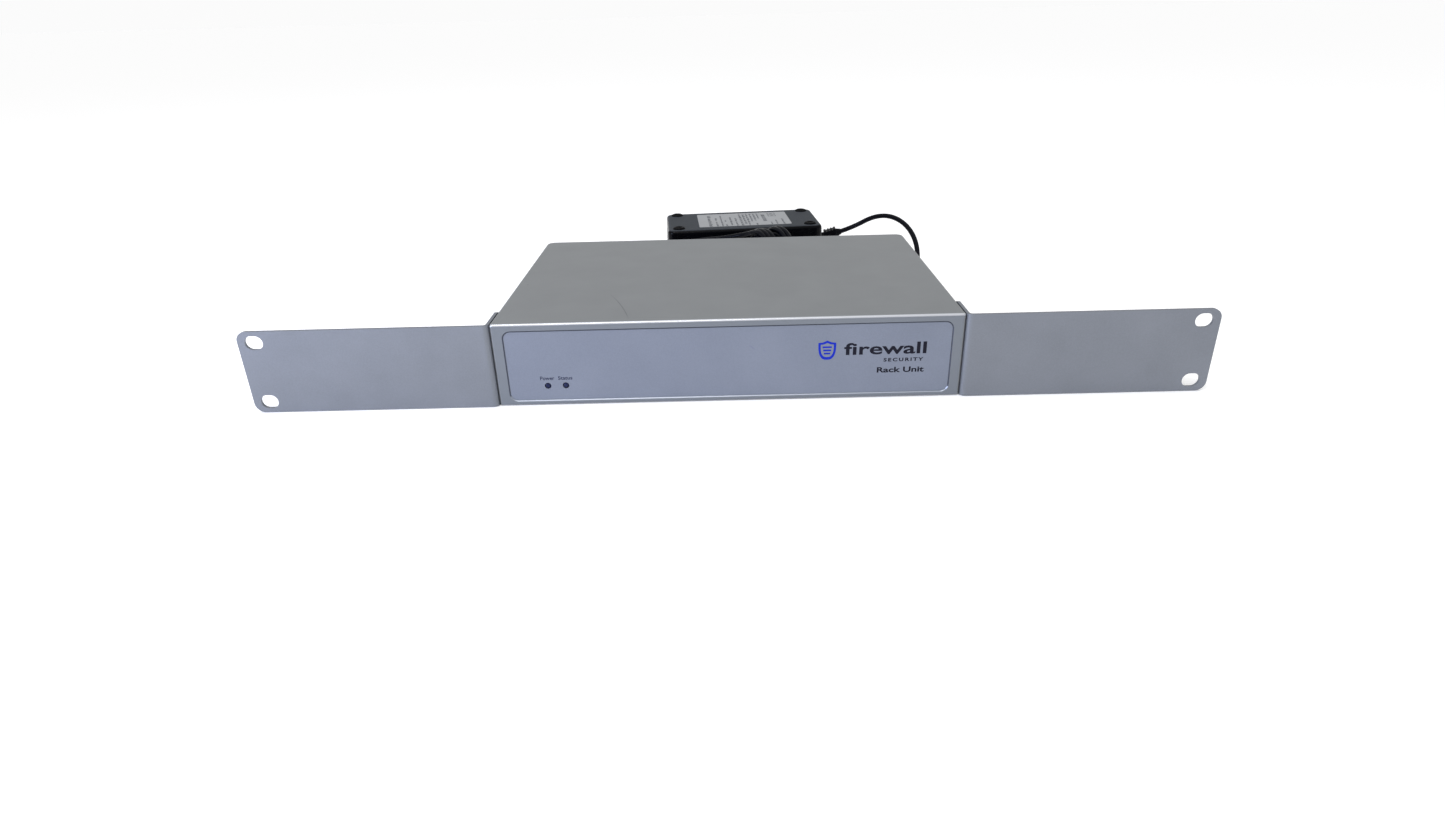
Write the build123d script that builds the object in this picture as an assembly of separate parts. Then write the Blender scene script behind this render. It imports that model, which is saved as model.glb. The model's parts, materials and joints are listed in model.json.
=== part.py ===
from build123d import *
import math
import os

# Rack-mounted firewall appliance with its external power supply.
# Row frame, millimetres: the origin is the centre of the chassis's flat underside, +X is to the
# right seen from the front, +Y runs from the front panel to the rear, +Z is up.

os.makedirs("parts", exist_ok=True)

# ---------------------------------------------------------------- chassis, overall sizes
chassis_w = 234.3
chassis_d = 162.0
chassis_h = 43.7
cover_t = 1.2            # painted steel sheet of the cover
cover_lift = 0.4         # the cover's lower edge stays off the table; the pan rests on it
cover_edge_r = 1.4       # bend radius along the top edges
front_corner_r = 1.5     # vertical edges beside the front panel
rear_corner_r = 5.0      # vertical edges at the back
sheet_fit = 0.15         # gap between sheets that slip over each other

# ---------------------------------------------------------------- front panel
recess_side = 6.15       # plain border left, right, below and above the recess
recess_below = 2.6
recess_above = 4.1
recess_r = 3.8
recess_depth = 0.6
recess_bevel = 0.5       # soft pressed edge all round the recess
label_t = 0.25
label_gap = 0.15
led_inset = 19.5         # first lamp from the recess's left edge
led_pitch = 9.1
led_names = ("power_led", "status_led")
led_up = 2.75            # lamp axis above the board
led_r = 1.5
led_hole_r = 1.65
led_length = 5.0
led_tip_r = 1.0
led_rim = 0.35           # collar round the lamp's foot
led_recess = 0.3         # lens tip behind the front face
led_leg_side = 0.9       # each leg beside the lamp's axis
led_leg_w = 0.5
led_leg_gap = 0.05       # round each leg in the holder
led_leg_reach = 0.8      # the legs bend down this far behind the holder
led_holder_w = 14.0
led_holder_d = 6.0
led_holder_h = 5.8

# ---------------------------------------------------------------- base pan and rear panel
pan_t = 1.0
pan_side_h = 14.0
pan_front_h = 7.0
pan_rear_h = 6.4
pan_tab_gap = 3.7        # the taller part of the side flange ends this far below the top
pan_tab_d = 18.0
pan_flange_start = 4.0   # side flanges start this far behind the pan's front edge
pan_front_inset = 6.0    # front flange's ends from the pan's sides
panel_t = 1.2
rear_lip_top = 4.5       # what the cover keeps above and beside the rear panel
rear_lip_side = 8.5
rear_flange_inset = 4.0  # pan's rear flange ends this far inside the cover's rear opening
vent_row_y = 28.0        # the two rows of slots in the pan, before and behind the middle
vent_w = 3.0
vent_l = 18.0
vent_pitch = 7.0
vent_count = 12
side_vent_w = 2.0
side_vent_h = 16.0
side_vent_pitch = 6.0
side_vent_count = 12
side_vent_back = 10.0    # middle of the row behind the chassis's middle
side_vent_up = 3.0       # and above mid height
rivet_r = 1.5
rivet_fit = 0.05
rivet_tail = 1.0         # the rivet reaches this far inside the pan's flange
rivet_up = 0.4           # above the middle of the flange
rivet_head_r = 2.6
rivet_head_h = 0.8
rivet_inset = 9.0        # outer rivets from the ends of the pan's rear flange

# ---------------------------------------------------------------- rack ears
rack_panel_w = 482.6
ear_t = 1.6
ear_lift = 0.1           # the ears stop this far short of the box's top and bottom
ear_proud = 1.4          # ear face in front of the front panel
ear_bend_r = 3.0         # outer bend radius
ear_corner_r = 5.0
flange_depth = 24.9      # from the ear's face back along the chassis side
flange_corner_r = 4.5
ear_hole_pitch_x = 466.4
ear_hole_pitch_z = 31.75
ear_slot_l = 9.0
ear_slot_w = 7.2

# ---------------------------------------------------------------- fasteners
screw_r = 1.475          # M3, drawn at its thread's outside
screw_hole_r = 1.6
screw_head_r = 2.8
screw_head_h = 1.7
screw_head_round = 0.6   # share of the head's height that its rounded edge takes
cross_arm = 1.9          # cross recess in the head: half its span, its width and its depth
cross_w = 0.6
cross_depth = 0.9
nut_r = 3.0
nut_t = 2.0
ear_screw_y = 13.5       # behind the ear's face
ear_screw_inset = 9.5    # from the ear's top and bottom edges
cover_screw_ys = (-8.0, 23.0)   # measured back from the middle and forward from the rear wall
cover_screw_z = 8.0

# ---------------------------------------------------------------- main board
board_side_gap = 11.8    # board edge to the inside of the pan's flange
board_t = 1.6
board_front_gap = 4.4    # board edge to the inside of the front wall
board_rear_gap = 1.2     # board edge to the rear panel
standoff_h = 5.0
standoff_af = 5.0
board_hole_r = 1.6
board_corner_r = 2.0
standoff_inset = 6.0
middle_standoff_x = -36.0
standoff_thread = 0.7    # share of the standoff's height that the screw goes in
heat_sink_w = 38.0
heat_sink_base = 2.5
heat_sink_h = 12.0
fin_t = 1.2
fin_count = 9
processor_x = -30.0
processor_back = -8.0    # behind the board's middle
processor_w = 27.0
processor_h = 2.2
memory_count = 4
memory_pitch = 14.0
memory_x = 36.0          # beside the processor
memory_y = -18.0         # first one, from the processor's middle
memory_size = (22.0, 10.0, 1.4)
flash_y = -40.0          # in front of the processor
flash_size = (20.0, 12.0, 1.4)
switch_chip_size = (16.0, 16.0, 1.4)
link_chip_size = (14.0, 14.0, 1.4)
network_chip_xs = (-4.0, 34.0)   # from the middle of the local network jacks
network_chip_gap = 29.0  # from the jacks' backs
magnetics_pitch = 18.0
magnetics_gap = 10.0
magnetics_size = (15.0, 12.0, 5.5)
crystal_size = (11.0, 4.6, 3.6)
crystal_place = (22.0, -34.0)    # from the processor's middle
crystal_x = 14.0         # the second one, between the network chips
cell_r = 10.0
cell_h = 3.2
cell_wall = 1.0
cell_rim = 1.4
cell_fit = 0.15
cell_notch = 6.0         # finger notch in the holder
cell_inset = 31.0        # from the board's right edge
cell_gap = 20.5          # in front of the network chips' middle
capacitor_r = 4.0
capacitor_h = 11.0
capacitor_pitch = 11.0
can_edge_r = 0.6         # rounded upper edge of a drawn can
input_capacitors = 4
input_capacitor_inset = 13.0     # first one from the board's left edge
input_capacitor_gap = 27.0       # from the jacks' backs
core_capacitors = 3
core_capacitor_inset = 43.0      # first one from the board's right edge
core_capacitor_gap = 33.0        # in front of the coin cell's middle
inductor_w = 12.0
inductor_h = 6.0
inductor_insets = (15.0, 31.0)   # from the board's left edge
inductor_gap = 43.0      # from the jacks' backs

# ---------------------------------------------------------------- rear connectors
port_pitch = 15.5        # network jacks side by side
port_w = 11.7
port_h = 8.2
port_depth = 12.5
port_floor = 2.6         # plastic under the port
tab_w = 6.0              # slot above the port for the plug's latch
tab_h = 1.8
jack_h = 13.5
jack_d = 17.0
jack_wall = 0.4
jack_proud = 0.8         # jack face beyond the rear panel
contact_count = 8
contact_pitch = 1.02
contact_w = 0.4
contact_back = 3.0       # contacts end this far behind the jack's face
lan_ports = 4
lan_x = 32.0
wan_x = 86.0
console_x = -20.0
console_flange_w = 30.8
console_flange_h = 12.5
console_flange_t = 0.8
console_shell_w = 16.9
console_shell_h = 8.3
console_shell_l = 5.8
console_wall = 0.5
console_lift = 0.3       # flange above the board
console_slope = 0.9      # each side of the D leans in this far
console_corner_r = 2.2
console_body_d = 10.0
console_body_up = 5.0    # plastic body above the connector's middle
console_tongue = 1.2
console_fit = 0.1
console_post_pitch = 25.0
post_af = 5.0
post_l = 5.0
post_bore_r = 1.25
post_floor = 0.5         # metal left behind the post's bore
post_shank = 6.0
pin_pitch = 2.77
pin_row_gap = 2.84
console_pin_r = 0.5
console_pin_root = 4.0   # each pin reaches this far into the plastic
console_pin_short = 0.4  # and ends this far inside the shell
dc_x = -66.0
dc_w = 9.0
dc_h = 11.0
dc_d = 14.4
dc_axis_up = 6.5         # jack's hole above the board
dc_bore_r = 3.1
dc_bore_d = 10.4
dc_pin_r = 1.0
dc_collar_r = 4.0
dc_panel_gap = 0.2       # jack's body to the inside of the rear panel
dc_pin_back = 1.2        # pin's end behind the jack's face
reset_x = -50.0
reset_up = 3.0           # button's axis above the board
reset_r = 1.5
reset_gap = 0.35         # all round the button
reset_length = 6.0
reset_travel = 0.8
reset_sunk = 0.5         # button's end behind the rear panel's face
reset_edge_r = 0.4
switch_w = 6.0
switch_d = 5.0
switch_h = 6.0
switch_panel_gap = 0.4
switch_spring = 0.4      # room left behind the pressed button
panel_hole_gap = 0.25    # rear panel opening around each connector

# ---------------------------------------------------------------- power supply
adapter_l = 115.0
adapter_w = 58.0
adapter_h = 35.0
adapter_wall = 2.2
adapter_seam = 18.0      # height of the joint between the two shells
adapter_corner_r = 5.5
adapter_edge_r = 2.6
adapter_draft = 1.2      # degrees, widest at the seam
adapter_x = 13.6
adapter_y = 172.6
adapter_turn = 4.2       # degrees, seen from above
seam_bevel = 0.35
foot_r = 4.5
foot_h = 2.0
foot_sunk = 0.8
foot_fit = 0.1
foot_edge_r = 0.7
foot_x = 48.8
foot_y = 21.9
sticker_l = 69.0
sticker_w = 41.5
sticker_t = 0.15
sticker_corner_r = 1.5
sticker_x = 1.0
inlet_w = 27.0
inlet_h = 19.6
inlet_l = 20.0
inlet_cavity_w = 24.2
inlet_cavity_h = 16.4
inlet_cavity_d = 15.5
inlet_pin_w = 2.0
inlet_pin_h = 4.0
inlet_pin_gap = 7.0
inlet_earth_up = 4.0
inlet_pin_l = 14.0
inlet_key = 4.0          # cut corners on the inlet's upper side
inner_gap = 1.0          # parts inside the shells stay this far off the walls
adapter_board_z = 6.0
adapter_board_t = 1.6
adapter_board_end = 3.0  # kept free beside the strain relief's collar
adapter_board_side = 2.0
transformer_x = 8.0
transformer_size = (28.0, 26.0, 21.4)
bulk_capacitor = (-24.0, 12.0, 8.0, 20.4)        # x, y, radius, height
output_capacitors = ((36.0, 14.0, 5.0, 16.4), (36.0, -14.0, 5.0, 16.4))
spreader_size = (24.0, 2.0, 20.4)
spreader_places = ((-22.0, -19.0), (36.0, 0.0))

# ---------------------------------------------------------------- strain relief, lead and plug
lead_d = 3.5
relief_neck_r = 3.15
relief_hole_gap = 0.25
relief_neck_l = 6.5
relief_elbow = 0.5       # the sleeve bends this far outside the shells
relief_block_r = 4.3
relief_block_l = 9.4
relief_tip_l = 3.5
relief_turn = -4.0       # degrees, heading of the relief seen from above
relief_rise = 16.0       # degrees, how far it points up
relief_rib_w = 1.0
relief_rib_cut = 0.8
relief_ribs = 3
relief_corner_r = 1.6
relief_collar_r = 5.0    # flange that keeps the sleeve inside the shells
relief_collar_t = 2.6
relief_collar_gap = 0.4  # from the shells' inner face
tip_wall = 0.3           # rubber round the lead where a relief ends
barrel_r = 2.75
barrel_bore_r = 1.35
barrel_l = 9.5
barrel_root = 2.0        # the barrel goes this far into the grip
grip_r = 5.0
grip_l = 17.0
grip_edge_r = 1.0
grip_gap = 0.8           # between the jack's face and the grip
plug_relief_l = 9.0
grip_ribs = 4
grip_rib_start = 6.0
grip_rib_pitch = 2.4
grip_rib_w = 1.0
grip_rib_cut = 0.5
plug_relief_r = 3.4

arc_share = 0.45         # each arc takes this share of its shorter run

# The lead's free route, chosen by hand.  First stretch: from the strain relief round the right
# side and along the table to the coil.  Second stretch: from the top of the coil to the plug.
lead_in_route = [
    (99.5, 174.3, 26.8),
    (112.5, 166.0, 36.3),
    (123.5, 155.0, 39.3),
    (132.5, 140.5, 36.0),
    (137.0, 125.0, 28.0),
    (136.5, 110.5, 16.5),
    (128.5, 97.5, 5.5),
    (112.0, 91.0, 2.1),
    (92.0, 93.0, 1.9),
    (72.5, 97.0, 2.1),
    (57.0, 101.5, 8.5),
]
lead_out_route = [
    (17.5, 128.0, 38.6),
    (2.0, 133.5, 34.5),
    (-18.0, 135.0, 30.5),
    (-38.0, 135.0, 24.5),
    (-54.0, 135.0, 18.5),
    (-66.0, 123.0, 14.8),
]

# ---------------------------------------------------------------- coil
coil_x = 33.0
coil_y = 119.0
coil_turn = 62.0         # degrees, how far the coil's face is turned from the front
coil_outer_r = 20.6
coil_section = 7.0       # radial thickness of the turns
coil_width = 17.5
coil_edge_r = 1.6
coil_clear = 0.1         # above the table
tie_t = 0.8
tie_w = 5.0
tie_grip = 0.1           # the tie presses this far into the turns
tie_at = 200.0           # degrees round the coil from its near side, the tie's place

# ---------------------------------------------------------------- worked out from the above
half_w = chassis_w / 2
front_y = -chassis_d / 2
rear_y = chassis_d / 2
recess_w = chassis_w - 2 * recess_side
recess_z0 = recess_below
recess_z1 = chassis_h - recess_above
ear_h = chassis_h - 2 * ear_lift
ear_screw_zs = (ear_lift + ear_screw_inset, ear_lift + ear_h - ear_screw_inset)
pan_tab_h = chassis_h - pan_tab_gap
pan_half = half_w - cover_t - sheet_fit
pan_front = front_y + cover_t + sheet_fit
panel_out = rear_y - cover_t - sheet_fit
panel_in = panel_out - panel_t
board_z0 = pan_t + standoff_h
board_z1 = board_z0 + board_t
board_w = 2 * (pan_half - pan_t - board_side_gap)
led_z = board_z1 + led_up
led_xs = {name: led_inset + i * led_pitch - recess_w / 2 for i, name in enumerate(led_names)}
led_holder_top = board_z1 + led_holder_h
rear_flange_half = half_w - rear_lip_side - rear_flange_inset
rivet_z = pan_rear_h / 2 + rivet_up
rivet_xs = (rivet_inset - rear_flange_half, 0.0, rear_flange_half - rivet_inset)
board_y0 = front_y + cover_t + board_front_gap
board_y1 = panel_in - board_rear_gap
jack_face = panel_out + jack_proud
jack_back = jack_face - jack_d
board_middle_y = (board_y0 + board_y1) / 2
processor_place = (processor_x, board_middle_y + processor_back)
network_chip_y = jack_back - network_chip_gap
cell_place = (board_w / 2 - cell_inset, network_chip_y - cell_gap)
console_z = board_z1 + console_lift + console_flange_h / 2
console_post_xs = (console_x - console_post_pitch / 2, console_x + console_post_pitch / 2)
dc_z = board_z1 + dc_axis_up
reset_z = board_z1 + reset_up
adapter_floor = adapter_board_z + adapter_board_t
ear_face = front_y - ear_proud
past = 1.0               # a cutting shape starts and ends this far outside what it cuts


def block(x0, x1, y0, y1, z0, z1):
    """A box from its lowest and highest corners."""
    size = (x1 - x0, y1 - y0, z1 - z0)
    middle = ((x0 + x1) / 2, (y0 + y1) / 2, (z0 + z1) / 2)
    return Pos(*middle) * Box(*size)


def rod_y(x, z, y0, y1, radius):
    """A round bar along Y."""
    bar = Cylinder(radius, y1 - y0)
    return Pos(x, (y0 + y1) / 2, z) * Rot(90, 0, 0) * bar


def rod_x(y, z, x0, x1, radius):
    """A round bar along X."""
    bar = Cylinder(radius, x1 - x0)
    return Pos((x0 + x1) / 2, y, z) * Rot(0, 90, 0) * bar


def rod_z(x, y, z0, z1, radius):
    """A round bar along Z."""
    return Pos(x, y, (z0 + z1) / 2) * Cylinder(radius, z1 - z0)


def wall_plate(width, z0, z1, corner, y0, y1):
    """A plate across the front or the rear with rounded corners."""
    outline = RectangleRounded(width, z1 - z0, corner)
    sketch = Plane.XZ * outline
    plate = extrude(sketch, amount=-(y1 - y0))
    return Pos(0, y0, (z0 + z1) / 2) * plate


def save(name, *solids):
    """Write one node; a group of pieces stays a group of separate solids."""
    pieces = []
    for item in solids:
        pieces.extend(item.solids())
    shape = pieces[0] if len(pieces) == 1 else Compound(children=pieces)
    export_step(shape, f"parts/{name}.step")
    volume = sum(piece.volume for piece in pieces)
    print(f"{name}: {len(pieces)} solid(s), {volume:.1f} mm3")


def cover_plan(inset):
    """The cover's outline seen from above, inset by a distance."""
    x = half_w - inset
    y = rear_y - inset
    plan = make_face(Polyline((-x, -y), (x, -y), (x, y), (-x, y), close=True))
    front = plan.vertices().filter_by(lambda v: v.Y < 0)
    plan = fillet(front, max(front_corner_r - inset, 0.3))
    rear = plan.vertices().filter_by(lambda v: v.Y > 0 and abs(v.X) > x - 0.1)
    return fillet(rear, max(rear_corner_r - inset, 0.3))


# ================================================================ sheet metal
def side_screw_places():
    """Where the ear screws and the cover screws cross the chassis side: (y, z) pairs."""
    ears = [(ear_face + ear_screw_y, z) for z in ear_screw_zs]
    covers = [(cover_screw_ys[0], cover_screw_z), (rear_y - cover_screw_ys[1], cover_screw_z)]
    return ears, covers


def side_holes():
    """Bars that cut every screw hole through both sides."""
    ears, covers = side_screw_places()
    reach = half_w + ear_t + past
    inner = pan_half - pan_t - nut_t - past
    bars = []
    for y, z in ears + covers:
        bars.append(rod_x(y, z, inner, reach, screw_hole_r))
        bars.append(rod_x(y, z, -reach, -inner, screw_hole_r))
    return bars


def make_top_cover():
    height = chassis_h - cover_lift
    outer = Pos(0, 0, cover_lift) * extrude(cover_plan(0), amount=height)
    outer = fillet(outer.faces().sort_by(Axis.Z)[-1].edges(), cover_edge_r)
    inner = Pos(0, 0, cover_lift) * extrude(cover_plan(cover_t), amount=height - cover_t)
    shell = outer - inner
    opening_x = half_w - rear_lip_side
    shell -= block(-opening_x, opening_x, rear_y - cover_t - past, rear_y + past,
                   0, chassis_h - rear_lip_top)
    shell -= wall_plate(recess_w, recess_z0, recess_z1, recess_r, front_y - past, front_y + recess_depth)
    front_face = shell.faces().sort_by(Axis.Y)[0]
    shell = chamfer(front_face.inner_wires()[0].edges(), recess_bevel)
    for x in led_xs.values():
        shell -= rod_y(x, led_z, front_y - past, front_y + cover_t + past, led_hole_r)
    first = side_vent_back - side_vent_pitch * (side_vent_count - 1) / 2
    z = chassis_h / 2 + side_vent_up
    for i in range(side_vent_count):
        slot = extrude(SlotOverall(side_vent_h, side_vent_w), amount=half_w + past, both=True)
        shell -= Pos(0, first + i * side_vent_pitch, z) * Rot(0, 90, 0) * slot
    for bar in side_holes():
        shell -= bar
    return shell


def make_base_pan():
    plan = cover_plan(cover_t + sheet_fit)
    plan &= Pos(0, (pan_front + panel_in) / 2) * Rectangle(chassis_w, panel_in - pan_front)
    pan = extrude(plan, amount=pan_t)
    flange_y0 = pan_front + pan_flange_start
    flange_y1 = panel_in - rear_corner_r
    for side in (-1, 1):
        edge = sorted((side * pan_half, side * (pan_half - pan_t)))
        pan += block(edge[0], edge[1], flange_y0, flange_y1, 0, pan_side_h)
        pan += block(edge[0], edge[1], flange_y0, flange_y0 + pan_tab_d, 0, pan_tab_h)
    front_half = pan_half - pan_front_inset
    pan += block(-front_half, front_half, pan_front, pan_front + pan_t, 0, pan_front_h)
    pan += block(-rear_flange_half, rear_flange_half, panel_in - pan_t, panel_in, 0, pan_rear_h)
    for row_y in (-vent_row_y, vent_row_y):
        for i in range(vent_count):
            x = (i - (vent_count - 1) / 2) * vent_pitch
            slot = extrude(SlotOverall(vent_l, vent_w, rotation=90), amount=pan_t + past, both=True)
            pan -= Pos(x, row_y, 0) * slot
    for bar in side_holes():
        pan -= bar
    for x in rivet_xs:
        pan -= rod_y(x, rivet_z, panel_in - pan_t - past, panel_in + past, rivet_r)
    return pan


def connector_cuts():
    """What the rear panel leaves open for each connector."""
    y0 = panel_in - past
    y1 = panel_out + past
    gap = panel_hole_gap
    lan_half = lan_ports * port_pitch / 2 + gap
    wan_half = port_pitch / 2 + gap
    cuts = [
        block(lan_x - lan_half, lan_x + lan_half, y0, y1, board_z1 - gap, board_z1 + jack_h + gap),
        block(wan_x - wan_half, wan_x + wan_half, y0, y1, board_z1 - gap, board_z1 + jack_h + gap),
        rod_y(dc_x, dc_z, y0, y1, dc_collar_r + gap),
        rod_y(reset_x, reset_z, y0, y1, reset_r + reset_gap),
    ]
    shell = d_outline(console_shell_w + 2 * gap, console_shell_h + 2 * gap)
    cuts.append(Pos(console_x, y0, console_z) * extrude(shell, amount=-(y1 - y0)))
    for x in console_post_xs:
        cuts.append(rod_y(x, console_z, y0, y1, screw_hole_r))
    return cuts


def d_outline(width, height):
    """The D of a nine-pin connector, on the XZ plane, wide side up."""
    wide = width / 2
    narrow = wide - console_slope
    points = [(-narrow, -height / 2), (narrow, -height / 2), (wide, height / 2), (-wide, height / 2)]
    face = make_face(Polyline(*points, close=True))
    face = fillet(face.vertices(), console_corner_r)
    return Plane.XZ * face


def make_rear_panel():
    panel_half = half_w - rear_corner_r - sheet_fit
    top = chassis_h - cover_t - sheet_fit
    panel = block(-panel_half, panel_half, panel_in, panel_out, 0, top)
    for cut in connector_cuts():
        panel -= cut
    for x in rivet_xs:
        panel -= rod_y(x, rivet_z, panel_in - past, panel_out + past, rivet_r)
    return panel


def make_front_label():
    gap = label_gap
    y1 = front_y + recess_depth
    label = wall_plate(recess_w - 2 * gap, recess_z0 + gap, recess_z1 - gap, recess_r - gap,
                       y1 - label_t, y1)
    for x in led_xs.values():
        label -= rod_y(x, led_z, front_y - past, front_y + cover_t + past, led_hole_r)
    return label


def make_rack_ear(side):
    """An L-shaped bracket: a flange on the chassis side and a slotted plate across the front."""
    x0 = half_w
    x1 = rack_panel_w / 2
    y0 = ear_face
    profile = make_face(Polyline((x0, y0 + flange_depth), (x0, y0), (x1, y0), (x1, y0 + ear_t),
                                 (x0 + ear_t, y0 + ear_t), (x0 + ear_t, y0 + flange_depth), close=True))
    corners = profile.vertices()
    outside = corners.sort_by(lambda v: abs(v.X - x0) + abs(v.Y - y0))[0]
    profile = fillet(outside, ear_bend_r)
    corners = profile.vertices()
    inside = corners.sort_by(lambda v: abs(v.X - x0 - ear_t) + abs(v.Y - y0 - ear_t))[0]
    profile = fillet(inside, ear_bend_r - ear_t)
    ear = Pos(0, 0, ear_lift) * extrude(profile, amount=ear_h)
    tip = ear.edges().filter_by(Axis.Y).filter_by(lambda e: e.center().X > x1 - ear_t)
    ear = fillet(tip, ear_corner_r)
    back = ear.edges().filter_by(Axis.X).filter_by(
        lambda e: e.center().Y > y0 + flange_depth - ear_t)
    ear = fillet(back, flange_corner_r)
    middle = ear_lift + ear_h / 2
    for z in (middle - ear_hole_pitch_z / 2, middle + ear_hole_pitch_z / 2):
        slot = Plane.XZ * SlotOverall(ear_slot_l, ear_slot_w)
        cutter = extrude(slot, amount=ear_t + past, both=True)
        ear -= Pos(ear_hole_pitch_x / 2, ear_face, z) * cutter
    for z in ear_screw_zs:
        ear -= rod_x(ear_face + ear_screw_y, z, x0 - past, x0 + ear_t + past, screw_hole_r)
    return ear if side > 0 else mirror(ear, about=Plane.YZ)


def screw(length):
    """A pan-head screw standing on the XY plane, its shank down."""
    head = extrude(Circle(screw_head_r), amount=screw_head_h)
    head = fillet(head.faces().sort_by(Axis.Z)[-1].edges(), screw_head_h * screw_head_round)
    body = head + rod_z(0, 0, -length, 0, screw_r)
    cross = Box(cross_arm * 2, cross_w, cross_depth * 2) + Box(cross_w, cross_arm * 2, cross_depth * 2)
    return body - Pos(0, 0, screw_head_h) * cross


def side_screws(places, seat_x, length):
    """Screws through both chassis sides, heads outside."""
    made = []
    for y, z in places:
        made.append(Pos(seat_x, y, z) * Rot(0, 90, 0) * screw(length))
        made.append(Pos(-seat_x, y, z) * Rot(0, -90, 0) * screw(length))
    return made


def clinch_nuts():
    """Nuts pressed on the inside of the pan's side flanges."""
    ears, covers = side_screw_places()
    inner = pan_half - pan_t
    made = []
    for y, z in ears + covers:
        ring = rod_x(y, z, inner - nut_t, inner, nut_r)
        ring -= rod_x(y, z, inner - nut_t - past, inner + past, screw_hole_r)
        made.append(ring)
        made.append(mirror(ring, about=Plane.YZ))
    return made


def panel_rivets():
    made = []
    for x in rivet_xs:
        body = rod_y(x, rivet_z, panel_in - pan_t - rivet_tail, panel_out, rivet_r - rivet_fit)
        body += rod_y(x, rivet_z, panel_out, panel_out + rivet_head_h, rivet_head_r)
        made.append(body)
    return made


# ================================================================ main board
def standoff_places():
    x = board_w / 2 - standoff_inset
    y0 = board_y0 + standoff_inset
    y1 = board_y1 - standoff_inset - jack_d
    return [(-x, y0), (0, y0), (x, y0), (-x, y1), (middle_standoff_x, y1), (x, y1)]


def make_main_board():
    board = block(-board_w / 2, board_w / 2, board_y0, board_y1, board_z0, board_z1)
    board = fillet(board.edges().filter_by(Axis.Z), board_corner_r)
    for x, y in standoff_places():
        board -= rod_z(x, y, board_z0 - past, board_z1 + past, board_hole_r)
    return board


def make_standoffs():
    made = []
    for x, y in standoff_places():
        hexagon = extrude(RegularPolygon(standoff_af / 2, 6, major_radius=False), amount=standoff_h)
        post = Pos(x, y, pan_t) * hexagon
        made.append(post - rod_z(x, y, pan_t - past, pan_t + standoff_h + past, board_hole_r))
    return made


def make_board_screws():
    length = board_t + standoff_h * standoff_thread
    return [Pos(x, y, board_z1) * screw(length) for x, y in standoff_places()]


def make_heat_sink():
    x, y = processor_place
    z0 = board_z1 + processor_h
    half = heat_sink_w / 2
    sink = block(x - half, x + half, y - half, y + half, z0, z0 + heat_sink_base)
    step = (heat_sink_w - fin_t) / (fin_count - 1)
    for i in range(fin_count):
        left = x - half + i * step
        sink += block(left, left + fin_t, y - half, y + half, z0, z0 + heat_sink_h)
    return sink


def chip(x, y, size):
    """A flat package on the board, from its middle and its size."""
    width, depth, height = size
    return block(x - width / 2, x + width / 2, y - depth / 2, y + depth / 2, board_z1, board_z1 + height)


def make_memory():
    x, y = processor_place
    return [chip(x + memory_x, y + memory_y + i * memory_pitch, memory_size) for i in range(memory_count)]


def make_network_chips():
    first, second = [lan_x + offset for offset in network_chip_xs]
    return [chip(first, network_chip_y, switch_chip_size), chip(second, network_chip_y, link_chip_size)]


def make_magnetics():
    y = jack_back - magnetics_gap
    return [chip(lan_x + i * magnetics_pitch, y, magnetics_size) for i in (-1, 0, 1)]


def make_crystals():
    x, y = processor_place
    dx, dy = crystal_place
    return [chip(x + dx, y + dy, crystal_size), chip(lan_x + crystal_x, network_chip_y, crystal_size)]


def make_capacitors():
    """Two rows of round cans: at the power input and beside the coin cell."""
    places = []
    for i in range(input_capacitors):
        x = input_capacitor_inset - board_w / 2 + i * capacitor_pitch
        places.append((x, jack_back - input_capacitor_gap))
    for i in range(core_capacitors):
        x = board_w / 2 - core_capacitor_inset + i * capacitor_pitch
        places.append((x, cell_place[1] - core_capacitor_gap))
    cans = [rod_z(x, y, board_z1, board_z1 + capacitor_h, capacitor_r) for x, y in places]
    return [fillet(can.faces().sort_by(Axis.Z)[-1].edges(), can_edge_r) for can in cans]


def make_inductors():
    made = []
    for inset in inductor_insets:
        core = chip(inset - board_w / 2, jack_back - inductor_gap, (inductor_w, inductor_w, inductor_h))
        made.append(fillet(core.edges().filter_by(Axis.Z), board_corner_r))
    return made


def make_cell_holder():
    x, y = cell_place
    floor = board_z1 + cell_wall
    rim = floor + cell_h
    outer_r = cell_r + cell_rim
    ring = rod_z(x, y, board_z1, rim, outer_r)
    ring -= rod_z(x, y, floor, rim + past, cell_r + cell_fit)
    return ring - block(x - cell_notch / 2, x + cell_notch / 2, y - outer_r - past, y, floor, rim + past)


def make_cell():
    x, y = cell_place
    z0 = board_z1 + cell_wall
    disc = rod_z(x, y, z0, z0 + cell_h, cell_r)
    return fillet(disc.faces().sort_by(Axis.Z)[-1].edges(), can_edge_r)


def make_led(x):
    """A 3 mm lamp lying on its side, its two legs bent down to the board."""
    tip = front_y + led_recess
    back = tip + led_length
    lamp = rod_y(x, led_z, tip, back, led_r)
    lamp = fillet(lamp.faces().sort_by(Axis.Y)[0].edges(), led_tip_r)
    lamp += rod_y(x, led_z, back - led_leg_w * 2, back, led_r + led_rim)
    leg = led_leg_w / 2
    run = back + led_holder_d + led_leg_reach
    for leg_x in (x - led_leg_side, x + led_leg_side):
        lamp += block(leg_x - leg, leg_x + leg, back - led_leg_w, run, led_z - leg, led_z + leg)
        lamp += block(leg_x - leg, leg_x + leg, run - led_leg_w, run, board_z1, led_z + leg)
    return lamp


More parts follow.
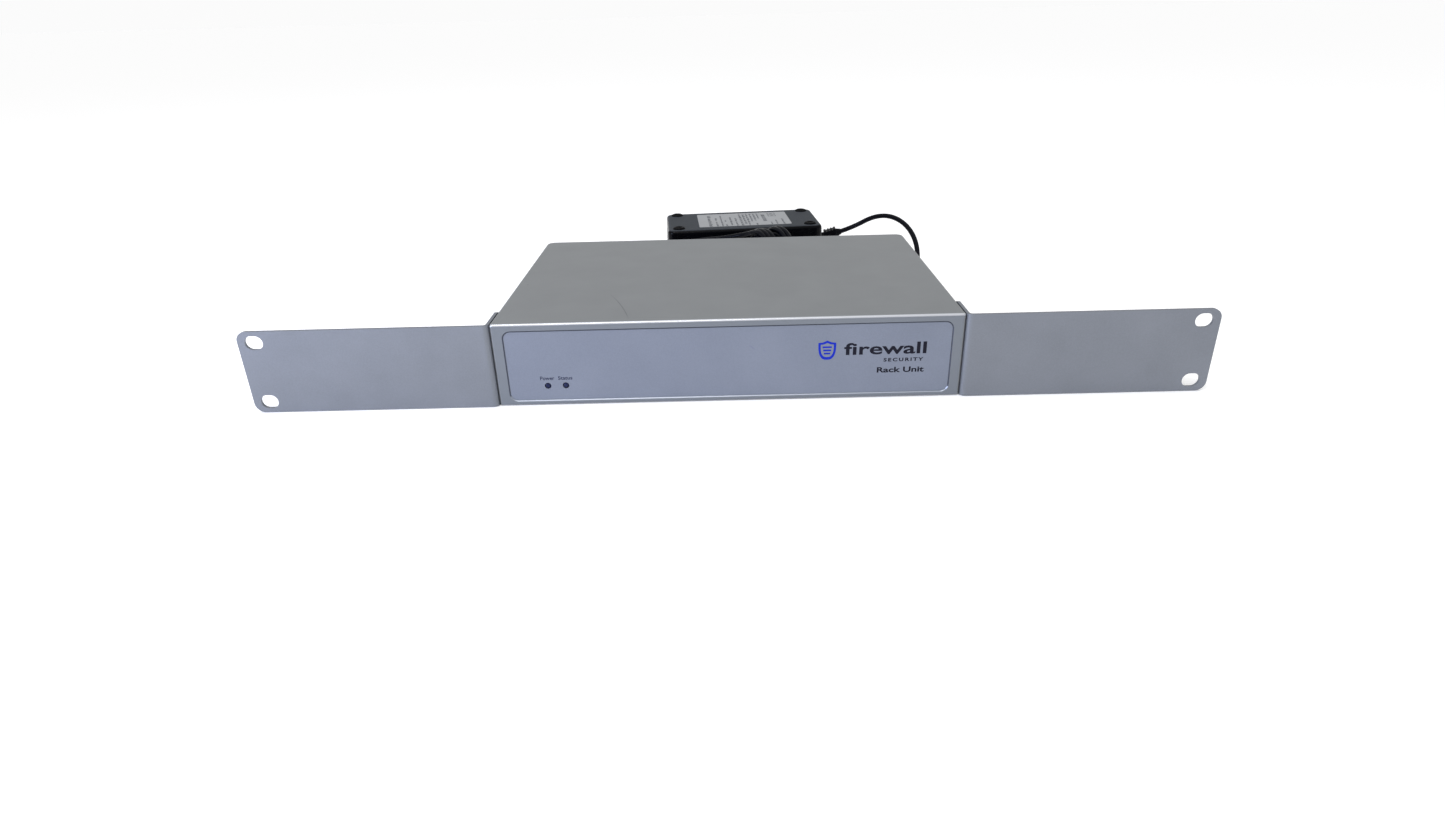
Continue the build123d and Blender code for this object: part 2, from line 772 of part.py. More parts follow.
def make_led_holder():
    back = front_y + led_recess + led_length
    xs = list(led_xs.values())
    middle = sum(xs) / len(xs)
    holder = block(middle - led_holder_w / 2, middle + led_holder_w / 2, back, back + led_holder_d,
                   board_z1, led_holder_top)
    slot = led_leg_w / 2 + led_leg_gap
    for x in xs:
        for leg_x in (x - led_leg_side, x + led_leg_side):
            holder -= block(leg_x - slot, leg_x + slot, back - past, back + led_holder_d + past,
                            led_z - slot, led_z + slot)
    return holder


# ================================================================ rear connectors
def port_centres(middle, ports):
    return [middle + (i - (ports - 1) / 2) * port_pitch for i in range(ports)]


def make_jack(middle, ports):
    """A network jack block: the metal shell around it and the plastic insert inside."""
    half = ports * port_pitch / 2
    y0 = jack_face - jack_d
    z0 = board_z1
    z1 = board_z1 + jack_h
    whole = block(middle - half, middle + half, y0, jack_face, z0, z1)
    core = block(middle - half + jack_wall, middle + half - jack_wall, y0 - past, jack_face - jack_wall,
                 z0 - past, z1 - jack_wall)
    shell = whole - core
    insert = whole & core
    for x in port_centres(middle, ports):
        floor = z0 + port_floor
        port = block(x - port_w / 2, x + port_w / 2, jack_face - port_depth, jack_face + past,
                     floor, floor + port_h)
        latch = block(x - tab_w / 2, x + tab_w / 2, jack_face - port_depth, jack_face + past,
                      floor, floor + port_h + tab_h)
        shell = shell - port - latch
        insert = insert - port - latch
    return shell, insert


def make_contacts():
    """The springy contacts at the bottom of every network port."""
    made = []
    floor = board_z1 + port_floor
    for x in port_centres(lan_x, lan_ports) + port_centres(wan_x, 1):
        for i in range(contact_count):
            left = x + (i - (contact_count - 1) / 2) * contact_pitch - contact_w / 2
            made.append(block(left, left + contact_w, jack_face - port_depth, jack_face - contact_back,
                              floor, floor + contact_w))
    return made


def make_console_shell():
    flange_y = panel_in - console_flange_t
    flange = block(console_x - console_flange_w / 2, console_x + console_flange_w / 2, flange_y, panel_in,
                   console_z - console_flange_h / 2, console_z + console_flange_h / 2)
    flange = fillet(flange.edges().filter_by(Axis.Y), board_corner_r)
    reach = console_shell_l + console_flange_t
    bore_w = console_shell_w - 2 * console_wall
    bore_h = console_shell_h - 2 * console_wall
    tube = extrude(d_outline(console_shell_w, console_shell_h), amount=-reach)
    hole = extrude(d_outline(bore_w, bore_h), amount=-(reach + past), both=True)
    shell = flange + Pos(console_x, flange_y, console_z) * tube
    shell -= Pos(console_x, flange_y, console_z) * hole
    for x in console_post_xs:
        shell -= rod_y(x, console_z, flange_y - past, panel_out, screw_hole_r)
    return shell


def make_console_insert():
    back = panel_in - console_flange_t
    bar = block(console_x - console_flange_w / 2, console_x + console_flange_w / 2,
                back - console_body_d, back, board_z1, console_z + console_body_up)
    slim = 2 * (console_wall + console_fit)
    tongue = extrude(d_outline(console_shell_w - slim, console_shell_h - slim), amount=-console_tongue)
    bar += Pos(console_x, back, console_z) * tongue
    for x in console_post_xs:
        bar -= rod_y(x, console_z, back - post_shank, back + past, screw_hole_r)
    for x, z in console_pin_places():
        bar -= rod_y(x, z, back - console_pin_root, back + console_tongue + past, console_pin_r)
    return bar


def console_pin_places():
    upper = [(console_x + (i - 2) * pin_pitch, console_z + pin_row_gap / 2) for i in range(5)]
    lower = [(console_x + (i - 1.5) * pin_pitch, console_z - pin_row_gap / 2) for i in range(4)]
    return upper + lower


def make_console_pins():
    back = panel_in - console_flange_t
    pins = []
    for x, z in console_pin_places():
        end = back + console_shell_l - console_pin_short
        pin = rod_y(x, z, back - console_pin_root, end, console_pin_r)
        pins.append(chamfer(pin.faces().sort_by(Axis.Y)[-1].edges(), console_pin_r * 0.4))
    return pins


def make_console_posts():
    made = []
    for x in console_post_xs:
        outline = Plane.XZ * RegularPolygon(post_af / 2, 6, major_radius=False)
        post = Pos(x, panel_out, console_z) * extrude(outline, amount=-post_l)
        post += rod_y(x, console_z, panel_out - post_shank, panel_out, screw_r)
        post -= rod_y(x, console_z, panel_out + post_floor, panel_out + post_l + past, post_bore_r)
        made.append(post)
    return made


def make_dc_jack():
    face = panel_in - dc_panel_gap
    body = block(dc_x - dc_w / 2, dc_x + dc_w / 2, jack_face - dc_d, face, board_z1, board_z1 + dc_h)
    body += rod_y(dc_x, dc_z, face - past, jack_face, dc_collar_r)
    return body - rod_y(dc_x, dc_z, jack_face - dc_bore_d, jack_face + past, dc_bore_r)


def make_dc_pin():
    pin = rod_y(dc_x, dc_z, jack_face - dc_bore_d, jack_face - dc_pin_back, dc_pin_r)
    return fillet(pin.faces().sort_by(Axis.Y)[-1].edges(), dc_pin_r / 2)


def make_reset_switch():
    y1 = panel_in - switch_panel_gap
    body = block(reset_x - switch_w / 2, reset_x + switch_w / 2, y1 - switch_d, y1,
                 board_z1, board_z1 + switch_h)
    bottom = panel_out - reset_sunk - reset_length - reset_travel - switch_spring
    return body - rod_y(reset_x, reset_z, bottom, y1 + past, reset_r + reset_gap)


def make_reset_button():
    end = panel_out - reset_sunk
    button = rod_y(reset_x, reset_z, end - reset_length, end, reset_r)
    return fillet(button.faces().sort_by(Axis.Y)[-1].edges(), reset_edge_r)


# ================================================================ power supply
adapter_place = Pos(adapter_x, adapter_y, 0) * Rot(0, 0, adapter_turn)


def adapter_half(z_seam, height, inset):
    """A solid block with rounded corners that narrows away from the seam."""
    plan = RectangleRounded(adapter_l - 2 * inset, adapter_w - 2 * inset, adapter_corner_r - inset)
    solid = extrude(plan, amount=height - inset, taper=adapter_draft)
    return Pos(0, 0, z_seam) * solid


def adapter_cuts():
    """Openings shared by both shells: the mains inlet and the strain relief."""
    left = -adapter_l / 2
    middle = adapter_seam
    inlet = block(left - past, left + adapter_wall + past, -inlet_w / 2, inlet_w / 2,
                  middle - inlet_h / 2, middle + inlet_h / 2)
    relief = rod_x(0, middle, adapter_l / 2 - adapter_wall - past, adapter_l / 2 + past,
                   relief_neck_r + relief_hole_gap)
    return inlet, relief


def adapter_shell(height):
    """One shell, seam down on the XY plane, its closed side up."""
    outer = adapter_half(0, height, 0)
    outer = fillet(outer.faces().sort_by(Axis.Z)[-1].edges(), adapter_edge_r)
    outer = chamfer(outer.faces().sort_by(Axis.Z)[0].edges(), seam_bevel)
    return outer - adapter_half(0, height, adapter_wall)


def make_adapter_base():
    """The half that carries the feet and the sticker; it lies uppermost."""
    shell = Pos(0, 0, adapter_seam) * adapter_shell(adapter_h - adapter_seam)
    for cut in adapter_cuts():
        shell -= cut
    for x, y in foot_places():
        shell -= rod_z(x, y, adapter_h - foot_sunk, adapter_h + past, foot_r + foot_fit)
    return adapter_place * shell


def make_adapter_cover():
    shell = mirror(adapter_shell(adapter_seam), about=Plane.XY)
    shell = Pos(0, 0, adapter_seam) * shell
    for cut in adapter_cuts():
        shell -= cut
    return adapter_place * shell


def foot_places():
    return [(sx * foot_x, sy * foot_y) for sx in (-1, 1) for sy in (-1, 1)]


def make_adapter_feet():
    made = []
    for x, y in foot_places():
        z0 = adapter_h - foot_sunk
        foot = rod_z(x, y, z0, z0 + foot_h, foot_r)
        made.append(adapter_place * fillet(foot.faces().sort_by(Axis.Z)[-1].edges(), foot_edge_r))
    return made


def make_adapter_sticker():
    sticker = extrude(RectangleRounded(sticker_l, sticker_w, sticker_corner_r), amount=sticker_t)
    return adapter_place * Pos(sticker_x, 0, adapter_h) * sticker


def make_ac_inlet():
    """A mains inlet with three pins; the lead that goes in it is not part of this object."""
    left = -adapter_l / 2
    middle = adapter_seam
    body = block(left, left + inlet_l, -inlet_w / 2, inlet_w / 2,
                 middle - inlet_h / 2, middle + inlet_h / 2)
    y = inlet_cavity_w / 2
    z = inlet_cavity_h / 2
    key = inlet_key
    points = [(-y, -z), (y, -z), (y, z - key), (y - key, z), (key - y, z), (-y, z - key)]
    outline = make_face(Polyline(*points, close=True))
    cavity = extrude(Plane.YZ * outline, amount=inlet_cavity_d + past)
    return adapter_place * (body - Pos(left - past, 0, middle) * cavity)


def make_ac_pins():
    left = -adapter_l / 2
    deep = left + inlet_cavity_d
    made = []
    for y, up in ((-inlet_pin_gap, -inlet_earth_up / 2), (inlet_pin_gap, -inlet_earth_up / 2),
                  (0, inlet_earth_up / 2)):
        z = adapter_seam + up
        pin = block(deep - inlet_pin_l, deep, y - inlet_pin_w / 2, y + inlet_pin_w / 2,
                    z - inlet_pin_h / 2, z + inlet_pin_h / 2)
        made.append(adapter_place * chamfer(pin.faces().sort_by(Axis.X)[0].edges(), inlet_pin_w / 5))
    return made


def make_adapter_board():
    left = -adapter_l / 2 + inlet_l + inner_gap
    right = adapter_l / 2 - adapter_wall - inner_gap - adapter_board_end
    y = adapter_w / 2 - adapter_wall - inner_gap - adapter_board_side
    return adapter_place * block(left, right, -y, y, adapter_board_z, adapter_floor)


def standing_block(x, y, size):
    """A block that stands on the power supply's board."""
    length, width, height = size
    return block(x - length / 2, x + length / 2, y - width / 2, y + width / 2,
                 adapter_floor, adapter_floor + height)


def make_transformer():
    core = standing_block(transformer_x, 0, transformer_size)
    return adapter_place * fillet(core.edges().filter_by(Axis.Z), board_corner_r)


def make_adapter_capacitors():
    made = []
    for x, y, radius, height in (bulk_capacitor, *output_capacitors):
        can = rod_z(x, y, adapter_floor, adapter_floor + height, radius)
        made.append(adapter_place * fillet(can.faces().sort_by(Axis.Z)[-1].edges(), can_edge_r))
    return made


def make_heat_spreaders():
    return [adapter_place * standing_block(x, y, spreader_size) for x, y in spreader_places]


# ================================================================ strain relief, lead, coil, plug
relief_start = adapter_place * Pos(adapter_l / 2 + relief_elbow, 0, adapter_seam)
relief_heading = Vector(
    math.cos(math.radians(relief_turn)) * math.cos(math.radians(relief_rise)),
    math.sin(math.radians(relief_turn)) * math.cos(math.radians(relief_rise)),
    math.sin(math.radians(relief_rise)),
)
relief_total = relief_neck_l + relief_block_l + relief_tip_l
relief_root = relief_start.position
lead_exit = relief_root + relief_heading * relief_total


def make_strain_relief():
    """A moulded rubber sleeve: a neck through the shells, a ribbed block and a tapered tip."""
    axis = Plane(origin=relief_root, z_dir=relief_heading)
    z1 = relief_neck_l
    z2 = z1 + relief_block_l
    outer = relief_block_r * 2
    inner = outer - 2 * relief_rib_cut
    section = RectangleRounded(outer, outer, relief_corner_r)
    ribbed = Pos(0, 0, z1) * extrude(section, amount=relief_block_l)
    ribbed = fillet(ribbed.faces().sort_by(Axis.Z)[-1].edges(), relief_corner_r / 2)
    for i in range(relief_ribs):
        z = z1 + relief_block_l * (i + 1) / (relief_ribs + 1)
        ring = Box(outer + past, outer + past, relief_rib_w) - Box(inner, inner, relief_rib_w)
        ribbed -= Pos(0, 0, z) * ring
    tip = Pos(0, 0, z2 + relief_tip_l / 2) * Cone(relief_neck_r, lead_d / 2 + tip_wall, relief_tip_l)
    sleeve = rod_z(0, 0, 0, z1, relief_neck_r) + Sphere(relief_neck_r) + ribbed + tip
    sleeve = axis.location * sleeve
    collar_x = adapter_l / 2 - adapter_wall - relief_collar_gap
    stub = rod_x(0, adapter_seam, collar_x - relief_collar_t, adapter_l / 2 + relief_elbow, relief_neck_r)
    collar = rod_x(0, adapter_seam, collar_x - relief_collar_t, collar_x, relief_collar_r)
    return sleeve + adapter_place * (stub + collar)


def coil_frame():
    """Where the coil stands: its axis lies level, turned from the front."""
    angle = math.radians(coil_turn)
    across = Vector(math.cos(angle), -math.sin(angle), 0)
    axis = Vector(math.sin(angle), math.cos(angle), 0)
    centre = Vector(coil_x, coil_y, coil_outer_r + coil_clear)
    return centre, across, axis


def make_coil():
    centre, across, axis = coil_frame()
    plane = Plane(origin=centre - axis * (coil_width / 2), x_dir=across, z_dir=axis)
    ring = Circle(coil_outer_r) - Circle(coil_outer_r - coil_section)
    solid = extrude(plane * ring, amount=coil_width)
    rims = solid.edges().filter_by(GeomType.CIRCLE)
    return fillet(rims, coil_edge_r)


def make_coil_tie():
    """A flat tie wrapped once round all the turns."""
    centre, across, axis = coil_frame()
    angle = math.radians(tie_at)
    out = across * math.cos(angle) + Vector(0, 0, 1) * math.sin(angle)
    middle = centre + out * (coil_outer_r - coil_section / 2)
    plane = Plane(origin=middle, x_dir=axis, z_dir=out.cross(axis))
    outer = RectangleRounded(coil_width + 2 * tie_t, coil_section + 2 * tie_t, coil_edge_r)
    inner = RectangleRounded(coil_width - tie_grip, coil_section - tie_grip, coil_edge_r - tie_t + tie_grip)
    return extrude(plane * (outer - inner), amount=tie_w / 2, both=True)


def lead_tube(points, label):
    """A round lead along straight runs joined by arcs as large as the runs allow."""
    corners = [Vector(*p) for p in points]
    radii = []
    for before, here, after in zip(corners, corners[1:], corners[2:]):
        turn = (here - before).get_angle(after - here)
        shorter = min((here - before).length, (after - here).length)
        radii.append(arc_share * shorter / math.tan(math.radians(turn) / 2))
    path = FilletPolyline(*corners, radius=radii)
    length = path.length
    start = Plane(origin=path @ 0, z_dir=path % 0)
    tube = sweep(start * Circle(lead_d / 2), path=path)
    share = tube.volume / (math.pi * lead_d ** 2 / 4 * length)
    print(f"{label}: {length:.1f} mm long, volume {share:.4f} of section x length")
    print("   radii in diameters:", [round(r / lead_d, 1) for r in radii])
    return tube, length


def lead_ends():
    """Where each stretch of the lead meets the coil, and where it meets the plug."""
    centre, across, axis = coil_frame()
    turn_r = coil_outer_r - lead_d / 2
    side = coil_width / 2 - lead_d / 2
    near = centre + axis * side + across * turn_r
    top = centre - axis * side + Vector(0, 0, turn_r)
    plug_end = Vector(dc_x, jack_face + grip_gap + grip_l + plug_relief_l, dc_z)
    return near, top, plug_end


def make_leads():
    near, top, plug_end = lead_ends()
    first = [tuple(lead_exit)] + lead_in_route + [tuple(near)]
    second = [tuple(top)] + lead_out_route + [tuple(plug_end)]
    tube_in, length_in = lead_tube(first, "lead to coil")
    tube_out, length_out = lead_tube(second, "coil to plug")
    print(f"free length outside the coil: {length_in + length_out:.1f} mm")
    print("exit:", [round(v, 2) for v in lead_exit], "near:", [round(v, 2) for v in near])
    print("top:", [round(v, 2) for v in top], "plug end:", [round(v, 2) for v in plug_end])
    return tube_in, tube_out


def make_plug_barrel():
    tip = jack_face - barrel_l + grip_gap
    barrel = rod_y(dc_x, dc_z, tip, jack_face + grip_gap + barrel_root, barrel_r)
    barrel = fillet(barrel.faces().sort_by(Axis.Y)[0].edges(), reset_edge_r)
    return barrel - rod_y(dc_x, dc_z, tip - past, jack_face + grip_gap, barrel_bore_r)


def make_plug_grip():
    y0 = jack_face + grip_gap
    y1 = y0 + grip_l
    grip = rod_y(dc_x, dc_z, y0, y1, grip_r)
    grip = fillet(grip.faces().sort_by(Axis.Y)[0].edges(), grip_edge_r)
    grip = fillet(grip.faces().sort_by(Axis.Y)[-1].edges(), grip_edge_r)
    cone = Cone(lead_d / 2 + tip_wall, plug_relief_r, plug_relief_l)
    grip += Pos(dc_x, y1 + plug_relief_l / 2, dc_z) * Rot(90, 0, 0) * cone
    for i in range(grip_ribs):
        y = y0 + grip_rib_start + i * grip_rib_pitch
        ring = rod_y(dc_x, dc_z, y, y + grip_rib_w, grip_r + past)
        grip -= ring - rod_y(dc_x, dc_z, y - past, y + grip_rib_w + past, grip_r - grip_rib_cut)
    return grip - rod_y(dc_x, dc_z, y0 - past, y0 + barrel_root, barrel_r)


# ================================================================ write every node
ear_places, cover_places = side_screw_places()
save("top_cover", make_top_cover())
save("base_pan", make_base_pan())
save("rear_panel", make_rear_panel())
save("front_label", make_front_label())
save("rack_ear_left", make_rack_ear(-1))
save("rack_ear_right", make_rack_ear(1))
save("ear_screws", *side_screws(ear_places, half_w + ear_t, ear_t + cover_t + pan_t + nut_t))
save("cover_screws", *side_screws(cover_places, half_w, cover_t + pan_t + nut_t))
save("clinch_nuts", *clinch_nuts())
save("panel_rivets", *panel_rivets())

save("main_board", make_main_board())
save("board_standoffs", *make_standoffs())
save("board_screws", *make_board_screws())
save("processor", chip(*processor_place, (processor_w, processor_w, processor_h)))
save("heat_sink", make_heat_sink())
save("memory_chips", *make_memory())
save("flash_chip", chip(processor_x, processor_place[1] + flash_y, flash_size))
save("network_chips", *make_network_chips())
save("magnetics", *make_magnetics())
save("crystals", *make_crystals())
save("capacitors", *make_capacitors())
save("inductors", *make_inductors())
save("coin_cell_holder", make_cell_holder())
save("coin_cell", make_cell())
for led_name, led_x in led_xs.items():
    save(led_name, make_led(led_x))
save("led_holder", make_led_holder())

lan_shell, lan_insert = make_jack(lan_x, lan_ports)
wan_shell, wan_insert = make_jack(wan_x, 1)
save("lan_jack_shell", lan_shell)
save("lan_jack_insert", lan_insert)
save("wan_jack_shell", wan_shell)
save("wan_jack_insert", wan_insert)
save("jack_contacts", *make_contacts())
save("console_shell", make_console_shell())
save("console_insert", make_console_insert())
save("console_pins", *make_console_pins())
save("console_posts", *make_console_posts())
save("dc_jack", make_dc_jack())
save("dc_jack_pin", make_dc_pin())
save("reset_switch", make_reset_switch())
save("reset_button", make_reset_button())

save("adapter_base", make_adapter_base())
save("adapter_cover", make_adapter_cover())
save("adapter_feet", *make_adapter_feet())
save("adapter_sticker", make_adapter_sticker())
save("adapter_board", make_adapter_board())
save("adapter_transformer", make_transformer())
save("adapter_capacitors", *make_adapter_capacitors())
save("adapter_heat_spreaders", *make_heat_spreaders())
save("ac_inlet", make_ac_inlet())
save("ac_inlet_pins", *make_ac_pins())

save("strain_relief", make_strain_relief())
lead_in, lead_out = make_leads()
save("lead_to_coil", lead_in)
save("lead_to_plug", lead_out)
save("lead_coil", make_coil())
save("coil_tie", make_coil_tie())
save("plug_barrel", make_plug_barrel())
save("plug_grip", make_plug_grip())
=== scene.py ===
# %% [markdown]
# # A rack-mounted firewall appliance with its power supply
# The object is a low steel box, one rack unit high, with two long ears that screw to a 19 inch
# rack.  Behind it lies its black power supply, upside down, joined by a thin lead.
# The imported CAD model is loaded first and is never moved: it gives every size and place.

# %% Load the frame
import json
import math
import random

import bmesh
import bpy
from mathutils import Matrix, Vector


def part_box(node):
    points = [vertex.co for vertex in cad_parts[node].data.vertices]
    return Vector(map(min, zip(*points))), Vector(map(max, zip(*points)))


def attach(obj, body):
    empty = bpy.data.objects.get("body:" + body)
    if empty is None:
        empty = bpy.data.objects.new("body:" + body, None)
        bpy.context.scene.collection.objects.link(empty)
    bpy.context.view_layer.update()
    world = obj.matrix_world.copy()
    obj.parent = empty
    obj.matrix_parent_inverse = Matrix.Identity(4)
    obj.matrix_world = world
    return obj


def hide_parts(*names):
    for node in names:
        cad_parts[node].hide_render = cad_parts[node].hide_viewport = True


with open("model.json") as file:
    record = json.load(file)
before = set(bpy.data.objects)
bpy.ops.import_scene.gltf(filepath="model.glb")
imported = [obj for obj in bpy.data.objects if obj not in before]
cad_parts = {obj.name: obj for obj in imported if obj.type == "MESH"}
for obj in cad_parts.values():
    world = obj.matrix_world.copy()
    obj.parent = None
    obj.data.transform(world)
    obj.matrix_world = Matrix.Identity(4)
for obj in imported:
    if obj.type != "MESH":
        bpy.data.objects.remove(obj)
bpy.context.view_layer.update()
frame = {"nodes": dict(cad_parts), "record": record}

# %% [markdown]
# ## Small helpers
# Lengths below are written in millimetres where a drawing would have them, and MM turns them into
# Blender's metres.  Colours are written as sRGB hex values, the way a colour picker shows them, but
# the renderer works with linear light, so one function turns the first into the second.

# %% Units and colours
MM = 0.001


def linear(hex_colour):
    """An sRGB hex value as linear red, green, blue and alpha."""
    parts = [int(hex_colour[i:i + 2], 16) / 255 for i in (1, 3, 5)]
    light = [c / 12.92 if c <= 0.04045 else ((c + 0.055) / 1.055) ** 2.4 for c in parts]
    return (*light, 1.0)


# %% [markdown]
# A material is a small graph of nodes.  Adding a node always means the same three things: its kind,
# its settings, and what goes into its sockets, so one helper does all of it.

# %% One helper for every node
def add_node(tree, kind, inputs=None, **settings):
    """Add a node; inputs maps a socket to a value or to another node's output."""
    made = tree.nodes.new(kind)
    for name, value in settings.items():
        setattr(made, name, value)
    for name, value in (inputs or {}).items():
        if isinstance(value, bpy.types.NodeSocket):
            tree.links.new(value, made.inputs[name])
        else:
            made.inputs[name].default_value = value
    return made


def start_material(name, **sockets):
    """A material with one Principled shader; sockets sets its plain values."""
    material = bpy.data.materials.new(name)
    material.use_nodes = True
    tree = material.node_tree
    tree.nodes.clear()
    plain_values = {socket.replace("_", " "): value for socket, value in sockets.items()}
    shader = add_node(tree, "ShaderNodeBsdfPrincipled", plain_values)
    add_node(tree, "ShaderNodeOutputMaterial", {"Surface": shader.outputs["BSDF"]})
    place = add_node(tree, "ShaderNodeTexCoord").outputs["Object"]
    return material, tree, shader, place


def per_metre(size_mm):
    """The noise scale that gives features about this many millimetres across."""
    return 1.0 / (size_mm * MM)


# %% [markdown]
# Nearly every finish here is one base colour that drifts a little from place to place, with a fine
# relief.  The first helper mixes two colours by a noise of a stated size and hands the noise back, so
# that the same grain can also drive the shine and the relief, which the second helper sets.

# %% Mottled colour, shine and relief
def mottle(tree, place, size_mm, dark, light, contrast=0.35, detail=3.0):
    """Mix two colours by noise; returns the noise and the mixed colour."""
    noise = add_node(tree, "ShaderNodeTexNoise",
                     {"Vector": place, "Scale": per_metre(size_mm), "Detail": detail, "Roughness": 0.6})
    ramp = add_node(tree, "ShaderNodeValToRGB", {"Fac": noise.outputs["Fac"]})
    ramp.color_ramp.elements[0].position = 0.5 - contrast / 2
    ramp.color_ramp.elements[0].color = linear(dark)
    ramp.color_ramp.elements[1].position = 0.5 + contrast / 2
    ramp.color_ramp.elements[1].color = linear(light)
    return noise.outputs["Fac"], ramp.outputs["Color"]


def set_surface(tree, shader, shine, rough, height, depth_mm):
    """Let shine move the roughness between two values, and height raise a relief of a real depth."""
    spread = add_node(tree, "ShaderNodeMapRange", {"Value": shine, "To Min": rough[0], "To Max": rough[1]})
    tree.links.new(spread.outputs["Result"], shader.inputs["Roughness"])
    bump = add_node(tree, "ShaderNodeBump", {"Height": height, "Distance": depth_mm * MM, "Strength": 0.5})
    tree.links.new(bump.outputs["Normal"], shader.inputs["Normal"])


# %% [markdown]
# ## Camera
# The camera stands close in front of the appliance, above it and looking down about 25 degrees, with
# a wide lens, so the ears open out to both sides and the back of the box is clearly smaller.  It is
# rolled by a degree and a half.

# %% Place the camera
camera_place = Vector((-0.00099, -0.47225, 0.18092))
camera_heading = math.radians(-0.36)
camera_down = math.radians(25.22)
camera_roll = math.radians(-1.50)
lens_mm = 21.02
sensor_mm = 36.0

forward = Vector((math.sin(camera_heading) * math.cos(camera_down),
                  math.cos(camera_heading) * math.cos(camera_down),
                  -math.sin(camera_down)))
level = Vector((math.cos(camera_heading), -math.sin(camera_heading), 0))
upright = level.cross(forward)
right = level * math.cos(camera_roll) + upright * math.sin(camera_roll)
up = upright * math.cos(camera_roll) - level * math.sin(camera_roll)

camera = bpy.data.objects.new("camera", bpy.data.cameras.new("camera"))
camera.data.lens = lens_mm
camera.data.sensor_width = sensor_mm
camera.data.clip_start = 0.01
turned = Matrix((right, up, -forward)).transposed().to_4x4()
camera.matrix_world = Matrix.Translation(camera_place) @ turned
bpy.context.scene.collection.objects.link(camera)
bpy.context.scene.camera = camera
print("camera looks down", round(math.degrees(camera_down), 1), "degrees with a", lens_mm, "mm lens")

# %% [markdown]
# ## Floor and light
# A pale floor and a pale sky give an even white surrounding.  The floor also gives off a little light
# of its own, so that it stays white right up to the object.

# %% Make the floor
def stage_floor(size):
    """A large flat sheet that isn't part of the object."""
    mesh = bpy.data.meshes.new("floor")
    half = size / 2
    corners = [(-half, -half, 0), (half, -half, 0), (half, half, 0), (-half, half, 0)]
    mesh.from_pydata(corners, [], [(0, 1, 2, 3)])
    floor = bpy.data.objects.new("floor", mesh)
    bpy.context.scene.collection.objects.link(floor)
    board = start_material("matt_white_board", Base_Color=linear("#f8f8f8"), Roughness=1.0,
                           Specular_IOR_Level=0.0, Emission_Color=linear("#ffffff"), Emission_Strength=0.2)[0]
    mesh.materials.append(board)
    return floor


floor_size = 60.0
floor_gap = 0.2 * MM
floor = stage_floor(floor_size)
floor.location.z = -floor_gap
print("floor:", floor_size, "m across")

# %% [markdown]
# The sky makes most of the light.  It is white at the horizon, dimmer a little above it, which gives
# the flat faces their middle grey, and bright overhead for the top of the box.  A soft, slightly blue
# light stands low on the left, so the front and the ears fade to the right.  A narrow one high up in
# front puts the glint on the bend where top and front meet.

# %% Make the light
def area_light(name, place, target, size, watts, colour, size_y=None):
    """A soft rectangular light aimed at a point."""
    light = bpy.data.lights.new(name, "AREA")
    light.shape = "RECTANGLE"
    light.size = size
    light.size_y = size_y or size
    light.energy = watts
    light.color = linear(colour)[:3]
    lamp = bpy.data.objects.new(name, light)
    lamp.location = place
    lamp.rotation_euler = (Vector(target) - Vector(place)).to_track_quat("-Z", "Y").to_euler()
    bpy.context.scene.collection.objects.link(lamp)
    return lamp


world = bpy.data.worlds.new("pale_room")
bpy.context.scene.world = world
world.use_nodes = True
sky_tree = world.node_tree
direction = add_node(sky_tree, "ShaderNodeTexCoord").outputs["Generated"]
upward = add_node(sky_tree, "ShaderNodeSeparateXYZ", {0: direction}).outputs["Z"]
sky_ramp = add_node(sky_tree, "ShaderNodeValToRGB", {"Fac": upward})
# (height of the direction, light there): a white horizon, a dimmer band, a bright zenith
sky_stops = [(0.0, 0.92), (0.08, 0.92), (0.2, 0.45), (1.0, 1.0)]
while len(sky_ramp.color_ramp.elements) < len(sky_stops):
    sky_ramp.color_ramp.elements.new(0.5)
for element, (at, brightness) in zip(sky_ramp.color_ramp.elements, sky_stops):
    element.position = at
    element.color = (brightness, brightness, brightness, 1)
background = sky_tree.nodes["Background"]
sky_tree.links.new(sky_ramp.outputs["Color"], background.inputs["Color"])
background.inputs["Strength"].default_value = 1.05
bpy.context.scene.view_settings.view_transform = "Standard"

area_light("front_fill", place=(-0.85, -0.5, 0.25), target=(-0.12, 0, 0.02),
           size=0.5, watts=6.9, colour="#ccd8ff")
area_light("bend_glint", place=(-0.3, -0.5, 1.25), target=(0, -0.08, 0.04),
           size=0.9, size_y=0.25, watts=6.0, colour="#ffffff")

# %% [markdown]
# ## The lead
# The lead is a round black PVC cord, 3.5 mm thick and 1.2 m long.  It leaves the power supply
# through its strain relief, swings round to the right, drops to the table behind the box, and runs
# to a small coil that stands on edge.  From the top of the coil it goes on to its plug.
# It is one NURBS curve: a curve bends smoothly by itself, as a real lead does, and Blender gives it a
# round section.  The numbers are places in millimetres in the object's own frame.

# %% Points of the lead outside the coil
lead_d = 3.5 * MM
lead_exit = Vector((90.05, 175.55, 23.35)) * MM
lead_in_route = [
    (99.5, 174.3, 26.8),
    (112.5, 166.0, 36.3),
    (123.5, 155.0, 39.3),
    (132.5, 140.5, 36.0),
    (137.0, 125.0, 28.0),
    (136.5, 110.5, 16.5),
    (128.5, 97.5, 5.5),
    (112.0, 91.0, 2.1),
    (92.0, 93.0, 1.9),
    (72.5, 97.0, 2.1),
    (57.0, 101.5, 8.5),
]
lead_out_route = [
    (15.5, 125.5, 35.0),
    (0.0, 131.5, 31.0),
    (-18.0, 134.0, 29.6),
    (-38.0, 135.0, 24.5),
    (-54.0, 135.0, 18.5),
    (-66.0, 123.0, 14.8),
]
plug_low, plug_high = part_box("plug_grip")
plug_end = Vector(((plug_low.x + plug_high.x) / 2, plug_high.y, (plug_low.z + plug_high.z) / 2))

